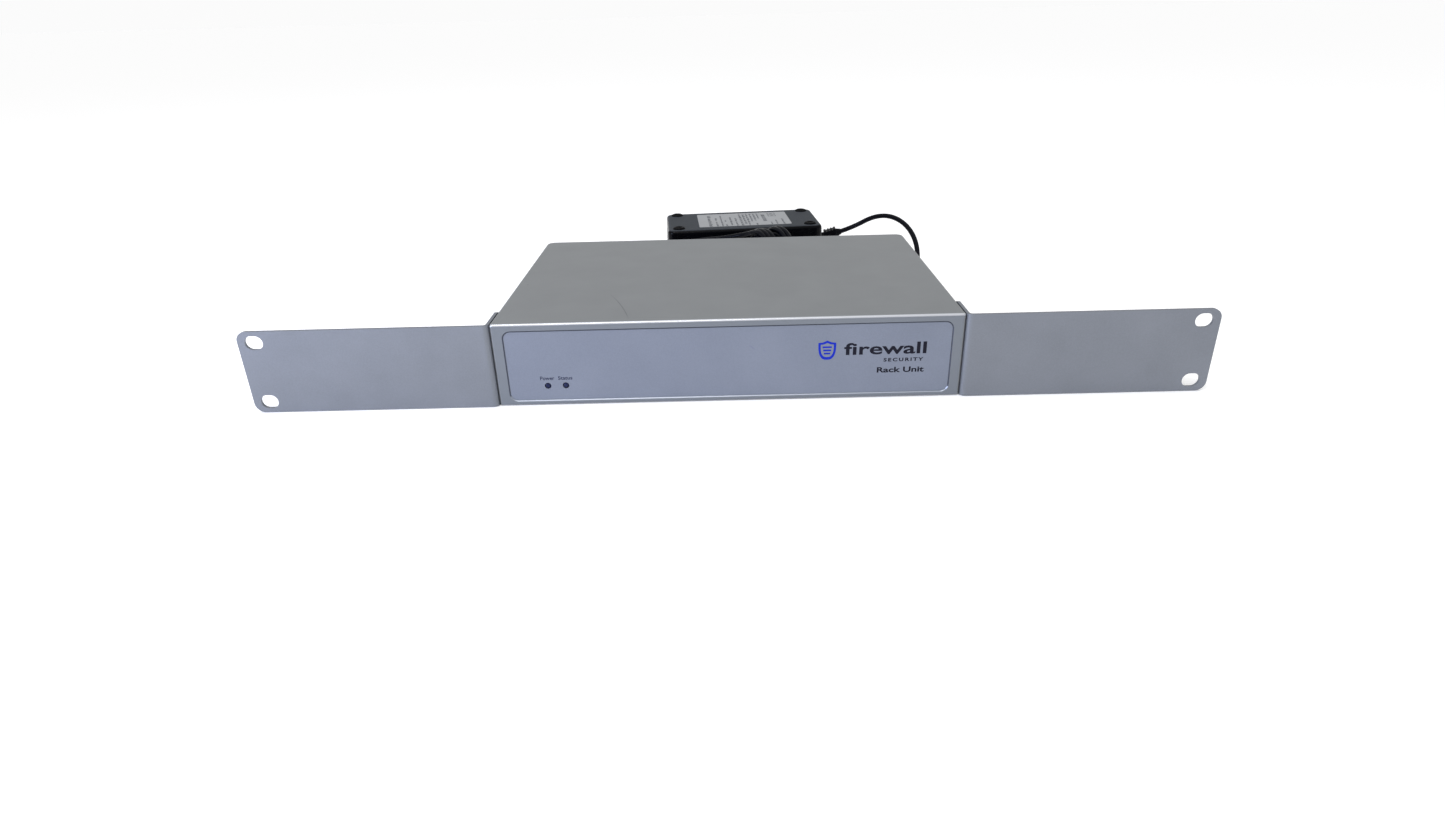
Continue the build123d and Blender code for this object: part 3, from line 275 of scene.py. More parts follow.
# %% [markdown]
# The turns of the coil are worked out by a loop.  They lie in two layers and four columns, and each
# turn moves over to the next place in the bundle during its lowest quarter, so no two turns cross
# where they can be seen.  Nothing holds the top of the bundle, so the two halves fan out there.

# %% Points of the coil
coil_low, coil_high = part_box("lead_coil")
coil_turn = math.radians(62)
coil_across = Vector((math.cos(coil_turn), -math.sin(coil_turn), 0))
coil_axis = Vector((math.sin(coil_turn), math.cos(coil_turn), 0))
coil_outer = (coil_high.z - coil_low.z) / 2
coil_centre = (coil_low + coil_high) / 2
outer_layer = coil_outer - lead_d / 2
inner_layer = outer_layer - lead_d
columns = [7.0 * MM, 3.5 * MM, -3.5 * MM, -7.0 * MM]
# (place along the coil's axis, radius) of each turn, in the order they are wound
turn_places = []
for column in columns:
    layers = [outer_layer, inner_layer]
    if columns.index(column) % 2:
        layers.reverse()
    turn_places += [(column, layer) for layer in layers]
leaving_place = (-10.3 * MM, outer_layer)
points_per_turn = 16
# the last quarter turn brings the lead up to the top of the coil
last_point = len(turn_places) * points_per_turn + points_per_turn // 4
top_fan = 0.9 * MM
wobble = 0.35 * MM


def coil_points():
    """Turns from the coil's near side, up and over, to the top of the last turn."""
    rng = random.Random(4)
    places = turn_places + [leaving_place] * 2
    turn_wobble = [rng.uniform(-wobble, wobble) for _ in range(len(turn_places) + 1)]
    made = []
    for i in range(last_point + 1):
        turns = i / points_per_turn
        angle = turns * math.tau
        # a turn changes place between its far side and the next near side
        index = int(turns)
        share = min(max((turns - index - 0.55) / 0.35, 0), 1)
        share = share * share * (3 - 2 * share)
        here = places[index]
        after = places[index + 1]
        along = here[0] + (after[0] - here[0]) * share
        radius = here[1] + (after[1] - here[1]) * share
        height = max(math.sin(angle), 0)
        along += math.copysign(top_fan * height, along)
        radius += turn_wobble[index] * height
        flat = coil_across * math.cos(angle) + Vector((0, 0, math.sin(angle)))
        made.append(coil_centre + flat * radius + coil_axis * along)
    return made


# %% Build the lead as one curve
def nurbs_line(name, points, radius):
    """An open NURBS curve with a round section."""
    curve = bpy.data.curves.new(name, "CURVE")
    curve.dimensions = "3D"
    # the section is this depth times each point's radius, and that radius counts in the curve's box
    curve.bevel_depth = 1.0
    curve.bevel_resolution = 5
    curve.resolution_u = 6
    curve.use_fill_caps = True
    spline = curve.splines.new("NURBS")
    spline.points.add(len(points) - 1)
    for slot, point in zip(spline.points, points):
        slot.co = (*point, 1)
        slot.radius = radius
    spline.order_u = 3
    spline.use_endpoint_u = True
    line = bpy.data.objects.new(name, curve)
    bpy.context.scene.collection.objects.link(line)
    return line


lead_points = [lead_exit] + [Vector(point) * MM for point in lead_in_route] + coil_points()
lead_points += [Vector(point) * MM for point in lead_out_route] + [plug_end]
lead = nurbs_line("power_lead", lead_points, lead_d / 2)
rough_length = sum((b - a).length for a, b in zip(lead_points, lead_points[1:]))
print("control points:", len(lead_points), "sum of runs:", round(rough_length, 4), "m")

# %% [markdown]
# The curve rides with the power supply and takes the place of the CAD's two tubes and ring-shaped
# coil.  The tie, the grip and the barrel of the plug stay as the CAD made them.

# %% Tell the frame what the lead is
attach(lead, "power_supply")
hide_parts("lead_to_coil", "lead_to_plug", "lead_coil")

# %% [markdown]
# ## Finishes
# Every CAD piece names the slot its finish comes from, so each finish below is stored by slot and is
# handed out at the end.  Most real finishes are one colour that drifts a little, a fine grain that
# catches the light, and a shine that isn't quite even: `grained` builds exactly that.

# %% The common recipe
finishes = {}


def grained(name, dark, light, grain_mm, rough, depth_mm, drift_mm=30.0, **sockets):
    """A finish with slow colour drift, a fine grain and an uneven shine."""
    material, tree, shader, place = start_material(name, **sockets)
    drift_colour = mottle(tree, place, drift_mm, dark, light, contrast=0.7, detail=2.0)[1]
    grain, grain_colour = mottle(tree, place, grain_mm, dark, light, contrast=0.6)
    halves = {"Factor": 0.5, 6: drift_colour, 7: grain_colour}
    both = add_node(tree, "ShaderNodeMix", halves, data_type="RGBA")
    tree.links.new(both.outputs[2], shader.inputs["Base Color"])
    set_surface(tree, shader, grain, rough, grain, depth_mm)
    return material


# %% [markdown]
# ### Silver powder coat
# The box and the ears are steel sheet sprayed with a powder that holds aluminium flakes and is then
# baked.  The flakes make it part metal and part paint: it stays grey from every side, yet a bend
# flashes; the top front bend's flash is partly a painted highlight, set further down, and the ears
# get a darker, bluer copy of the paint as painted shade.  The flakes are about 0.05 mm, far too fine
# to show, so they are drawn 0.7 mm across.
# A coat of paint also levels out into faint waves, which the slow drift stands for.

# %% The silver powder coat
def silver_powder_coat(name, dark, light):
    return grained(name, dark, light, grain_mm=0.7, rough=(0.34, 0.46), depth_mm=0.02, drift_mm=26.0,
                   Metallic=0.62, Specular_IOR_Level=0.5)


cover_paint = silver_powder_coat("silver_powder_coat", "#7e8183", "#8d9092")
# painted shade: the ears use the same paint, made darker and bluer for the weaker, bluer light on their front
# faces
ear_paint = silver_powder_coat("silver_powder_coat_painted_shade_on_the_ears", "#71757c", "#81858d")
finishes["silver_paint"] = cover_paint
finishes["ear_paint"] = ear_paint

# %% [markdown]
# Wear, and the light and shade painted on edges, change a finish only in some places, so they need
# masks.  A mask is a number that is 1 where the change shows and 0 elsewhere.  It could be painted on
# the piece as an image; here it is worked out from places and directions, which stays sharp at any
# distance and needs no unwrapping.

# %% Masks and marks
def mask_where(tree, *limits):
    """1 where every value is past its second limit, 0 where any is before its first."""
    mask = None
    for value, start, end in limits:
        step = add_node(tree, "ShaderNodeMapRange", {"Value": value, "From Min": start, "From Max": end})
        past = step.outputs["Result"]
        if mask is None:
            mask = past
        else:
            mask = add_node(tree, "ShaderNodeMath", {0: mask, 1: past}, operation="MULTIPLY").outputs[0]
    return mask


def lay_over(tree, socket, mask, value, most=1.0):
    """Mix a colour or a number over whatever feeds a socket, by most where the mask is 1."""
    under = socket.links[0].from_socket
    amount = add_node(tree, "ShaderNodeMath", {0: mask, 1: most}, operation="MULTIPLY").outputs[0]
    if socket.type == "RGBA":
        layers = {"Factor": amount, 6: under, 7: linear(value)}
        over = add_node(tree, "ShaderNodeMix", layers, data_type="RGBA").outputs[2]
    else:
        over = add_node(tree, "ShaderNodeMix", {"Factor": amount, 2: under, 3: value}).outputs[0]
    tree.links.new(over, socket)


def ring_mark(tree, place, centre, radius, half_width, low, high):
    """A thin arc: one where a point is as far from centre as the radius, between two Y limits."""
    away = add_node(tree, "ShaderNodeVectorMath", {0: place, 1: centre}, operation="DISTANCE")
    off = add_node(tree, "ShaderNodeMath", {0: away.outputs["Value"], 1: radius}, operation="SUBTRACT")
    width = add_node(tree, "ShaderNodeMath", {0: off.outputs[0]}, operation="ABSOLUTE").outputs[0]
    y = add_node(tree, "ShaderNodeSeparateXYZ", {0: place}).outputs["Y"]
    fade = 8 * MM
    return mask_where(tree, (width, half_width, 0.0), (y, low, low + fade), (y, high, high - 2 * fade))


def spot_mark(tree, place, centre, size, turn=(0, 0, 0)):
    """A soft oval spot: one in its middle, zero at its edge."""
    oval = {"Vector": place, "Location": centre, "Rotation": turn, "Scale": size}
    local = add_node(tree, "ShaderNodeMapping", oval, vector_type="TEXTURE")
    away = add_node(tree, "ShaderNodeVectorMath", {0: local.outputs[0]}, operation="LENGTH")
    return mask_where(tree, (away.outputs["Value"], 1.0, 0.35))


# %% [markdown]
# The cover has one long curved scratch near its front and one small chip.  Both show the darker coat
# below the flakes.

# %% Scratch and chip on the cover
cover_low, cover_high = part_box("top_cover")
cover_tree = cover_paint.node_tree
cover_shader = cover_tree.nodes["Principled BSDF"]
cover_spot = cover_tree.nodes["Texture Coordinate"].outputs["Object"]
cover_colour = cover_shader.inputs["Base Color"]
scratch = ring_mark(cover_tree, cover_spot, (-0.2412, -0.1188, cover_high.z), 0.197, 0.45 * MM,
                    cover_low.y + 4 * MM, cover_low.y + 46 * MM)
chip = spot_mark(cover_tree, cover_spot, (-0.1111, -0.0149, cover_high.z), (0.8 * MM, 0.6 * MM, 2 * MM))
for mark in (scratch, chip):
    lay_over(cover_tree, cover_colour, mark, "#5c5e62", most=0.75)

# %% [markdown]
# Painted highlight: the top front bend is painted much lighter than the flat sheet, and made
# smoother, so that it shows a bright glint, and every face at the front that looks partly up, the
# recess's lower edge among them, is painted a little lighter.  The recess's other edges are painted
# dark, as painted shade.  The flat front is painted a little cooler and darker than the top, as
# painted shade, as the ears are.  The direction that a face looks in tells a bend from the flat
# sheet, and a limit on Y keeps all of this to the front of the cover.

# %% Painted highlights on the bends, painted shade on the front and in the recess
film_low, film_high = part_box("front_label")
normal = add_node(cover_tree, "ShaderNodeTexCoord").outputs["Normal"]
facing = add_node(cover_tree, "ShaderNodeSeparateXYZ", {0: normal}).outputs
spot = add_node(cover_tree, "ShaderNodeSeparateXYZ", {0: cover_spot}).outputs
from_middle = add_node(cover_tree, "ShaderNodeMath", {0: spot["X"]}, operation="ABSOLUTE").outputs[0]
recess_half = (film_high.x - film_low.x) / 2
at_front = (spot["Y"], cover_low.y + 1.6 * MM, cover_low.y + 1.3 * MM)
in_recess = (from_middle, recess_half + 1.6 * MM, recess_half + 1.4 * MM)
near_top = (spot["Z"], cover_high.z - 5 * MM, cover_high.z - 4 * MM)
looks_up = (facing["Z"], 0.2, 0.35)
flat_on_top = (facing["Z"], 0.98, 0.9)
# painted shade: the flat front, cooler and darker than the top
front_face_painted_shade = mask_where(cover_tree, at_front, (facing["Y"], -0.93, -0.98))
# painted highlight: faces at the front that look partly up, the recess's lower edge among them
upward_faces_painted_highlight = mask_where(cover_tree, at_front, looks_up, flat_on_top)
# painted highlight: the top front bend, the lightest of all
top_bend_painted_highlight = mask_where(cover_tree, at_front, looks_up, flat_on_top, near_top)
# painted shade: the recess's edges that look down or sideways
recess_edge_painted_shade = mask_where(cover_tree, at_front, (facing["Y"], -0.98, -0.93), in_recess, (facing["Z"], 0.3, 0.2))
painted_light_colours = [(front_face_painted_shade, "#747980"), (upward_faces_painted_highlight, "#9aa0aa"), (top_bend_painted_highlight, "#c2c4c8"), (recess_edge_painted_shade, "#4c505b")]
for mask, colour in painted_light_colours:
    lay_over(cover_tree, cover_colour, mask, colour)
# the painted highlight on the top bend is also made smoother
lay_over(cover_tree, cover_shader.inputs["Roughness"], top_bend_painted_highlight, 0.3)
print("cover nodes in its material:", len(cover_tree.nodes))

# %% [markdown]
# ### The front film
# The recess is filled by a printed polyester film, matt and a little bluer than the paint.  Its back
# is printed and its face is embossed with a very fine texture, so it takes light softly.  A small
# scuff and a fainter rub beside it, near its middle, are the only marks on it.

# %% The polyester film
film = grained("matt_polyester_film", "#6d7380", "#7d8390", grain_mm=0.6, rough=(0.5, 0.62), depth_mm=0.008,
               Specular_IOR_Level=0.35)
film_tree = film.node_tree
film_spot = film_tree.nodes["Texture Coordinate"].outputs["Object"]
film_colour = film_tree.nodes["Principled BSDF"].inputs["Base Color"]
scuff_turn = (0, math.radians(40), 0)
scuff = ((0.0120, film_low.y, 0.0286), (2.4 * MM, 3 * MM, 0.55 * MM))
rub = ((0.0182, film_low.y, 0.0266), (1.6 * MM, 3 * MM, 0.4 * MM))
for centre, size in (scuff, rub):
    mark = spot_mark(film_tree, film_spot, centre, size, scuff_turn)
    lay_over(film_tree, film_colour, mark, "#6d7087", most=0.5)
finishes["label_film"] = film

# %% [markdown]
# ### Bare and plated metals
# The pan is zinc-plated sheet: dull, bluish and faintly cloudy.  Screws are nickel-plated steel and
# connector shells are tin or nickel over thin brass, so both are brighter.  A metal's colour sits in
# its reflections, so all of these are fully metallic and keep the default IOR.

# %% Zinc, nickel, aluminium, gold and the coin cell
finishes["zinc_steel"] = grained("zinc_plated_sheet_steel", "#8f9396", "#a9adb0", grain_mm=2.5,
                                 rough=(0.38, 0.55), depth_mm=0.01, drift_mm=14.0, Metallic=1.0)
finishes["screw_steel"] = grained("nickel_plated_screw_steel", "#8b8c8e", "#a2a3a5", grain_mm=0.5,
                                  rough=(0.22, 0.36), depth_mm=0.006, Metallic=1.0)
finishes["connector_nickel"] = grained("nickel_plated_brass", "#a9a7a1", "#bdbbb5", grain_mm=0.8,
                                       rough=(0.16, 0.3), depth_mm=0.004, drift_mm=8.0, Metallic=1.0)
finishes["bright_aluminium"] = grained("plain_drawn_aluminium", "#b6b9bc", "#c9ccce", grain_mm=0.6,
                                       rough=(0.28, 0.4), depth_mm=0.005, drift_mm=6.0, Metallic=1.0)
finishes["contact_gold"] = grained("gold_plated_contact_spring", "#c39b4a", "#dcb96a", grain_mm=0.4,
                                   rough=(0.18, 0.3), depth_mm=0.003, Metallic=1.0)
finishes["cell_steel"] = grained("polished_stainless_cell_can", "#aeb0b2", "#c3c5c7", grain_mm=0.7,
                                 rough=(0.15, 0.26), depth_mm=0.003, Metallic=1.0)

# %% [markdown]
# The heat sink is extruded aluminium, anodised black.  Extrusion leaves fine lines along its length,
# so its grain is stretched along Y.

# %% Black anodised aluminium
anodised, tree, shader, place = start_material("black_anodised_extrusion", Metallic=0.6)
drawn = add_node(tree, "ShaderNodeMapping", {"Vector": place, "Scale": (1.0, 0.04, 1.0)})
grain, colour = mottle(tree, drawn.outputs[0], 0.5, "#15161a", "#2a2c31", contrast=0.7)
tree.links.new(colour, shader.inputs["Base Color"])
set_surface(tree, shader, grain, (0.35, 0.5), grain, 0.01)
finishes["anodised_black"] = anodised

# %% [markdown]
# ### Moulded plastics and rubber
# Plastic from a steel mould copies the mould's surface: connectors are nearly smooth, the button and
# chips are finely eroded.  Glass-filled PBT and epoxy are grey-black, rubber is duller still.

# %% Connector plastic, epoxy, ferrite, button and rubber
finishes["connector_black"] = grained("moulded_black_pbt", "#0e0f11", "#17181b", grain_mm=0.5,
                                      rough=(0.32, 0.46), depth_mm=0.008)
finishes["chip_epoxy"] = grained("moulded_black_epoxy", "#161719", "#1e1f22", grain_mm=0.4,
                                 rough=(0.45, 0.6), depth_mm=0.01)
finishes["ferrite"] = grained("sintered_ferrite", "#232325", "#303033", grain_mm=0.8,
                              rough=(0.55, 0.75), depth_mm=0.03)
finishes["button_plastic"] = grained("moulded_black_abs", "#131416", "#1d1e21", grain_mm=0.4,
                                     rough=(0.38, 0.5), depth_mm=0.006)
finishes["foot_rubber"] = grained("moulded_nitrile_rubber", "#020204", "#07080a", grain_mm=0.9,
                                  rough=(0.42, 0.6), depth_mm=0.03, Specular_IOR_Level=0.05)
finishes["relief_rubber"] = grained("soft_black_pvc_moulding", "#020307", "#080910", grain_mm=1.1,
                                    rough=(0.3, 0.42), depth_mm=0.02, Specular_IOR_Level=0.06)
finishes["lead_pvc"] = grained("extruded_black_pvc_sheath", "#020309", "#070912", grain_mm=1.2,
                               rough=(0.2, 0.3), depth_mm=0.012, drift_mm=18.0, Specular_IOR_Level=0.09)
finishes["winding"] = grained("yellow_polyester_winding_tape", "#b89a3a", "#cdb04c", grain_mm=0.8,
                              rough=(0.3, 0.42), depth_mm=0.01)

# %% [markdown]
# ### The power supply's case
# Both shells are black polycarbonate.  The face with the feet is spark-eroded to a matt grey-black,
# and the sides are polished, so the same piece needs two surfaces.  A mask by height tells the flat
# face from the rounded edge below it, and drives the colour, the shine and the relief together.

# %% Matt face and glossy sides
base_low, base_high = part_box("adapter_base")
finishes["adapter_gloss"] = grained("polished_black_polycarbonate", "#020204", "#06070a", grain_mm=1.5,
                                    rough=(0.26, 0.34), depth_mm=0.006, drift_mm=40.0,
                                    Specular_IOR_Level=0.08)
case, tree, shader, place = start_material("spark_eroded_black_polycarbonate", Specular_IOR_Level=0.08)
height = add_node(tree, "ShaderNodeSeparateXYZ", {0: place}).outputs["Z"]
on_face = mask_where(tree, (height, base_high.z - 0.7 * MM, base_high.z - 0.25 * MM))
grain, matt_colour = mottle(tree, place, 0.8, "#2e3135", "#44484d", contrast=0.8)
cloud = add_node(tree, "ShaderNodeTexNoise", {"Vector": place, "Scale": per_metre(12)}).outputs["Fac"]
polish = {"Factor": cloud, 6: linear("#020204"), 7: linear("#06070b")}
polished_colour = add_node(tree, "ShaderNodeMix", polish, data_type="RGBA").outputs[2]
skin = {"Factor": on_face, 6: polished_colour, 7: matt_colour}
skin_colour = add_node(tree, "ShaderNodeMix", skin, data_type="RGBA").outputs[2]
tree.links.new(skin_colour, shader.inputs["Base Color"])
sunk = add_node(tree, "ShaderNodeMath", {0: grain, 1: on_face}, operation="MULTIPLY").outputs[0]
set_surface(tree, shader, on_face, (0.22, 0.62), sunk, 0.04)
finishes["adapter_matte"] = case

# %% [markdown]
# ### Label paper, lamp lenses and the boards
# The rating label is coated grey paper.  The lamps are epoxy tinted dark and unlit, so little light
# comes back out of them: a nearly black, slightly blue surface shows that with no need for glass.  A
# board is glass epoxy under green solder mask, with copper tracks that show through as lighter lines
# at a 2.5 mm grid, much coarser than real tracks so that they show at all.

# %% Paper and lens
finishes["sticker"] = grained("coated_grey_label_paper", "#8f9193", "#9c9ea0", grain_mm=0.9,
                              rough=(0.42, 0.55), depth_mm=0.006, Specular_IOR_Level=0.3)
finishes["lamp_lens"] = grained("dark_tinted_epoxy_lens", "#191f3c", "#222a4c", grain_mm=1.0,
                                rough=(0.3, 0.4), depth_mm=0.004, drift_mm=3.0, IOR=1.5,
                                Specular_IOR_Level=0.15)

# %% Circuit board
board, tree, shader, place = start_material("green_solder_mask_on_glass_epoxy", IOR=1.5)
track_grid = {"Vector": place, "Scale": per_metre(5.0), "Brick Width": 0.9, "Row Height": 0.5,
              "Mortar Size": 0.05, "Mortar Smooth": 0.2,
              "Color1": linear("#10401f"), "Color2": linear("#144824"), "Mortar": linear("#2d6b3a")}
tracks = add_node(tree, "ShaderNodeTexBrick", track_grid)
tree.links.new(tracks.outputs["Color"], shader.inputs["Base Color"])
grain = mottle(tree, place, 0.7, "#000000", "#ffffff")[0]
set_surface(tree, shader, grain, (0.22, 0.36), tracks.outputs["Fac"], 0.03)
finishes["board_green"] = board

# %% [markdown]
# Screen-print ink lies on the film and on the paint as a thin matt layer with slightly uneven edges
# and density.

# %% Printing inks
dark_ink = grained("dark_blue_black_screen_ink", "#060616", "#0e0e20", grain_mm=0.3, rough=(0.5, 0.6),
                   depth_mm=0.004, Specular_IOR_Level=0.2)
small_ink = grained("slate_screen_ink", "#2a2d42", "#363a50", grain_mm=0.3, rough=(0.5, 0.6),
                    depth_mm=0.004, Specular_IOR_Level=0.2)
blue_ink = grained("bright_blue_screen_ink", "#04209c", "#0829b0", grain_mm=0.4, rough=(0.45, 0.55),
                   depth_mm=0.004, Specular_IOR_Level=0.2)
label_ink = grained("grey_label_ink", "#4a4d52", "#5a5d62", grain_mm=0.5, rough=(0.5, 0.6),
                    depth_mm=0.003)

# %% [markdown]
# Each CAD piece now gets the finish of its slot.  The material is linked to the object and not to its
# mesh, so the mesh that came with the frame stays exactly as it was.

# %% Give every CAD piece its finish
def use_material(piece, material):
    """Fill every material slot of a piece, on the object and not on its mesh."""
    if not piece.material_slots:
        piece.data.materials.append(None)
    for place_on_piece in piece.material_slots:
        place_on_piece.link = "OBJECT"
        place_on_piece.material = material


slot_of = {row["node"]: row["material_slot"] for row in frame["record"]["subparts"]}
for node, piece in frame["nodes"].items():
    use_material(piece, finishes[slot_of[node]])
use_material(lead, finishes["lead_pvc"])
print("finishes:", len(finishes), "given to", len(slot_of), "CAD pieces")

# %% [markdown]
# ## Front printing
# The words and the mark are printed on the film.  They are text and curve objects a few hundredths
# of a millimetre thick, so they have an edge that catches light as real ink does.  Each is scaled to
# the width and height of its printed box.  The mark is a plain shield outline, made here.

# %% Turn a drawing into a mesh
def as_mesh(drawing):
    """Replace a text or curve object by a mesh piece with its place and scale built in."""
    bpy.context.view_layer.update()
    graph = bpy.context.evaluated_depsgraph_get()
    mesh = bpy.data.meshes.new_from_object(drawing.evaluated_get(graph))
    mesh.transform(drawing.matrix_world)
    name = drawing.name
    bpy.data.objects.remove(drawing)
    mesh.materials.clear()
    piece = bpy.data.objects.new(name, mesh)
    bpy.context.scene.collection.objects.link(piece)
    return piece


# %% Print a word in a box
# the label's ink is this thick; a drawing is extruded by it to each side, so its ink is twice that
ink_t = 0.03 * MM


def stand_up(piece, x, y, z, facing):
    """Turn a flat drawing upright, facing the front (-1) or the rear (1)."""
    piece.location = (x, y, z)
    piece.rotation_euler = (math.pi / 2, 0, math.pi if facing > 0 else 0)


def finish_piece(piece, material, body):
    use_material(piece, material)
    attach(piece, body)


def print_word(name, words, middle, size, y, facing, material, bold=0.0, spacing=1.0):
    """A word whose ink fills a box of the given width and height, middle at (x, z)."""
    drawing = bpy.data.curves.new(name, "FONT")
    drawing.body = words
    drawing.align_x = "CENTER"
    drawing.align_y = "CENTER"
    drawing.offset = bold
    drawing.space_character = spacing
    drawing.extrude = ink_t
    drawing.resolution_u = 4
    piece = bpy.data.objects.new(name, drawing)
    bpy.context.scene.collection.objects.link(piece)
    bpy.context.view_layer.update()
    corners = [Vector(c) for c in piece.bound_box]
    low = Vector((min(c.x for c in corners), min(c.y for c in corners), 0))
    high = Vector((max(c.x for c in corners), max(c.y for c in corners), 0))
    scale_x = size[0] / (high.x - low.x)
    scale_y = size[1] / (high.y - low.y)
    off_x = (low.x + high.x) / 2 * scale_x * (-facing)
    off_z = (low.y + high.y) / 2 * scale_y
    stand_up(piece, middle[0] - off_x, y, middle[1] - off_z, facing)
    piece.scale = (scale_x, scale_y, 1)
    piece = as_mesh(piece)
    finish_piece(piece, material, "appliance")
    return piece


# %% The words on the front
front_ink_y = film_low.y - ink_t / 2
lamp_up = 2.3 * MM
for node, words in (("power_led", "Power"), ("status_led", "Status")):
    low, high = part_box(node)
    middle = ((low.x + high.x) / 2, high.z + lamp_up)
    print_word(f"print_{words.lower()}", words, middle, (7.2 * MM, 1.95 * MM), front_ink_y, -1, small_ink,
               bold=0.015)
# right edge of the printed block
print_right = film_high.x - 12 * MM
# (words, middle from that edge, middle's height, width, height, boldness, letter spacing), in mm
front_words = [
    ("firewall", 20.5, 26.4, 41, 6.4, 0.018, 1.0),
    ("SECURITY", 11.2, 20.2, 19.8, 1.9, 0.03, 1.35),
    ("Rack Unit", 12.4, 14.8, 23.6, 2.95, 0.025, 1.0),
]
for words, inward, above, wide, tall, bold, spacing in front_words:
    middle = (print_right - inward * MM, above * MM)
    print_word(f"print_{words.lower().replace(' ', '_')}", words, middle, (wide * MM, tall * MM),
               front_ink_y, -1, dark_ink, bold, spacing)
print("front words:", 2 + len(front_words))


# %% The shield mark
def shield_outline(half_width, height, steps=10):
    """Points of a shield: a shallow top edge, straight shoulders and two arcs to a point below."""
    side = []
    for i in range(steps + 1):
        share = i / steps
        x = half_width * math.cos(share * math.pi / 2) ** 0.7
        z = -height * (0.35 + 0.65 * math.sin(share * math.pi / 2))
        side.append((x, z))
    top = [(0.0, 0.0), (half_width * 0.5, -height * 0.1), (half_width, -height * 0.12)]
    right_side = top + side
    left_side = [(-x, z) for x, z in reversed(right_side[1:-1])]
    return right_side + left_side


def flat_curve(name, outlines, thickness):
    """A filled flat drawing from closed outlines; an outline inside another cuts a hole."""
    drawing = bpy.data.curves.new(name, "CURVE")
    drawing.dimensions = "2D"
    drawing.fill_mode = "BOTH"
    drawing.extrude = thickness
    for outline in outlines:
        spline = drawing.splines.new("POLY")
        spline.points.add(len(outline) - 1)
        for corner, (x, y) in zip(spline.points, outline):
            corner.co = (x, y, 0, 1)
        spline.use_cyclic_u = True
    piece = bpy.data.objects.new(name, drawing)
    bpy.context.scene.collection.objects.link(piece)
    return piece


def shrunk(outline, share, drop):
    return [(x * share, y * share - drop) for x, y in outline]


shield = shield_outline(4.4 * MM, 10.2 * MM)
inner_shield = shrunk(shield, 0.74, 1.25 * MM)
bar_tall = 0.85 * MM
bars = []
for i in range(3):
    z = (-3.1 - i * 1.7) * MM
    half = (2.3 - i * 0.35) * MM
    bars.append([(-half, z), (half, z), (half, z - bar_tall), (-half, z - bar_tall)])
shield_mark = flat_curve("print_shield", [shield, inner_shield] + bars, ink_t)
stand_up(shield_mark, print_right - 49.5 * MM, front_ink_y, 31.2 * MM, -1)
shield_mark = as_mesh(shield_mark)
finish_piece(shield_mark, blue_ink, "appliance")
print("front printing ends", round((film_high.x - print_right) / MM, 1), "mm from the film's edge")

# %% [markdown]
# ## Rear panel details
# Each network port is named beside its jack, and each jack has two small lamp windows above the
# port.  The contacts inside a jack are springs: each wire rises from the floor of the port towards
# its back, so the plain CAD wires are replaced by bent ones.

# %% Words on the rear
panel_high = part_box("rear_panel")[1]
lan_low, lan_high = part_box("lan_jack_shell")
wan_low, wan_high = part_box("wan_jack_shell")
rear_ink_y = panel_high.y + ink_t / 2
port_count = 4
port_pitch = (lan_high.x - lan_low.x) / port_count
port_xs = [lan_low.x + (i + 0.5) * port_pitch for i in range(port_count)]
word_z = lan_high.z + 3.2 * MM
# (piece, words, middle x, middle z, width in mm, boldness); port 1 is the leftmost seen from behind
rear_words = [(f"port_{i + 1}", str(i + 1), x, word_z, 1.2, 0.0) for i, x in enumerate(reversed(port_xs))]
rear_words.append(("lan", "LAN", (lan_low.x + lan_high.x) / 2, word_z + 4.2 * MM, 6.5, 0.01))
over_pieces = [("wan", "WAN", "wan_jack_shell", 6.8), ("console", "CONSOLE", "console_shell", 13.0),
               ("reset", "RESET", "reset_button", 8.6), ("dc_in", "DC IN", "dc_jack", 8.2)]
for piece, words, node, width in over_pieces:
    low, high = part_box(node)
    rear_words.append((piece, words, (low.x + high.x) / 2, word_z, width, 0.01))
for piece, words, x, z, width, bold in rear_words:
    print_word(f"print_{piece}", words, (x, z), (width * MM, 2.0 * MM), rear_ink_y, 1, dark_ink,
               bold)
print("rear words:", len(rear_words))

# %% [markdown]
# Solid little pieces are easiest to build with bmesh, Blender's editor for vertices and faces in
# Python.  A block starts as a unit cube that is stretched, moved and has its edges rounded.

# %% Mesh helpers
def mesh_piece(name, shape, material, body):
    """Turn a bmesh into a piece that rides on a body."""
    mesh = bpy.data.meshes.new(name)
    bmesh.ops.recalc_face_normals(shape, faces=shape.faces)
    shape.to_mesh(mesh)
    shape.free()
    piece = bpy.data.objects.new(name, mesh)
    bpy.context.scene.collection.objects.link(piece)
    finish_piece(piece, material, body)
    return piece


def add_block(shape, low, high, bevel=0.0):
    """Add a block between two corners, its edges rounded."""
    made = bmesh.ops.create_cube(shape, size=1.0)
    middle = (Vector(low) + Vector(high)) / 2
    size = Vector(high) - Vector(low)
    bmesh.ops.scale(shape, vec=size, verts=made["verts"])
    bmesh.ops.translate(shape, vec=middle, verts=made["verts"])
    if bevel:
        edges = list({edge for vert in made["verts"] for edge in vert.link_edges})
        bmesh.ops.bevel(shape, geom=edges, offset=bevel, segments=2, affect="EDGES", profile=0.6)


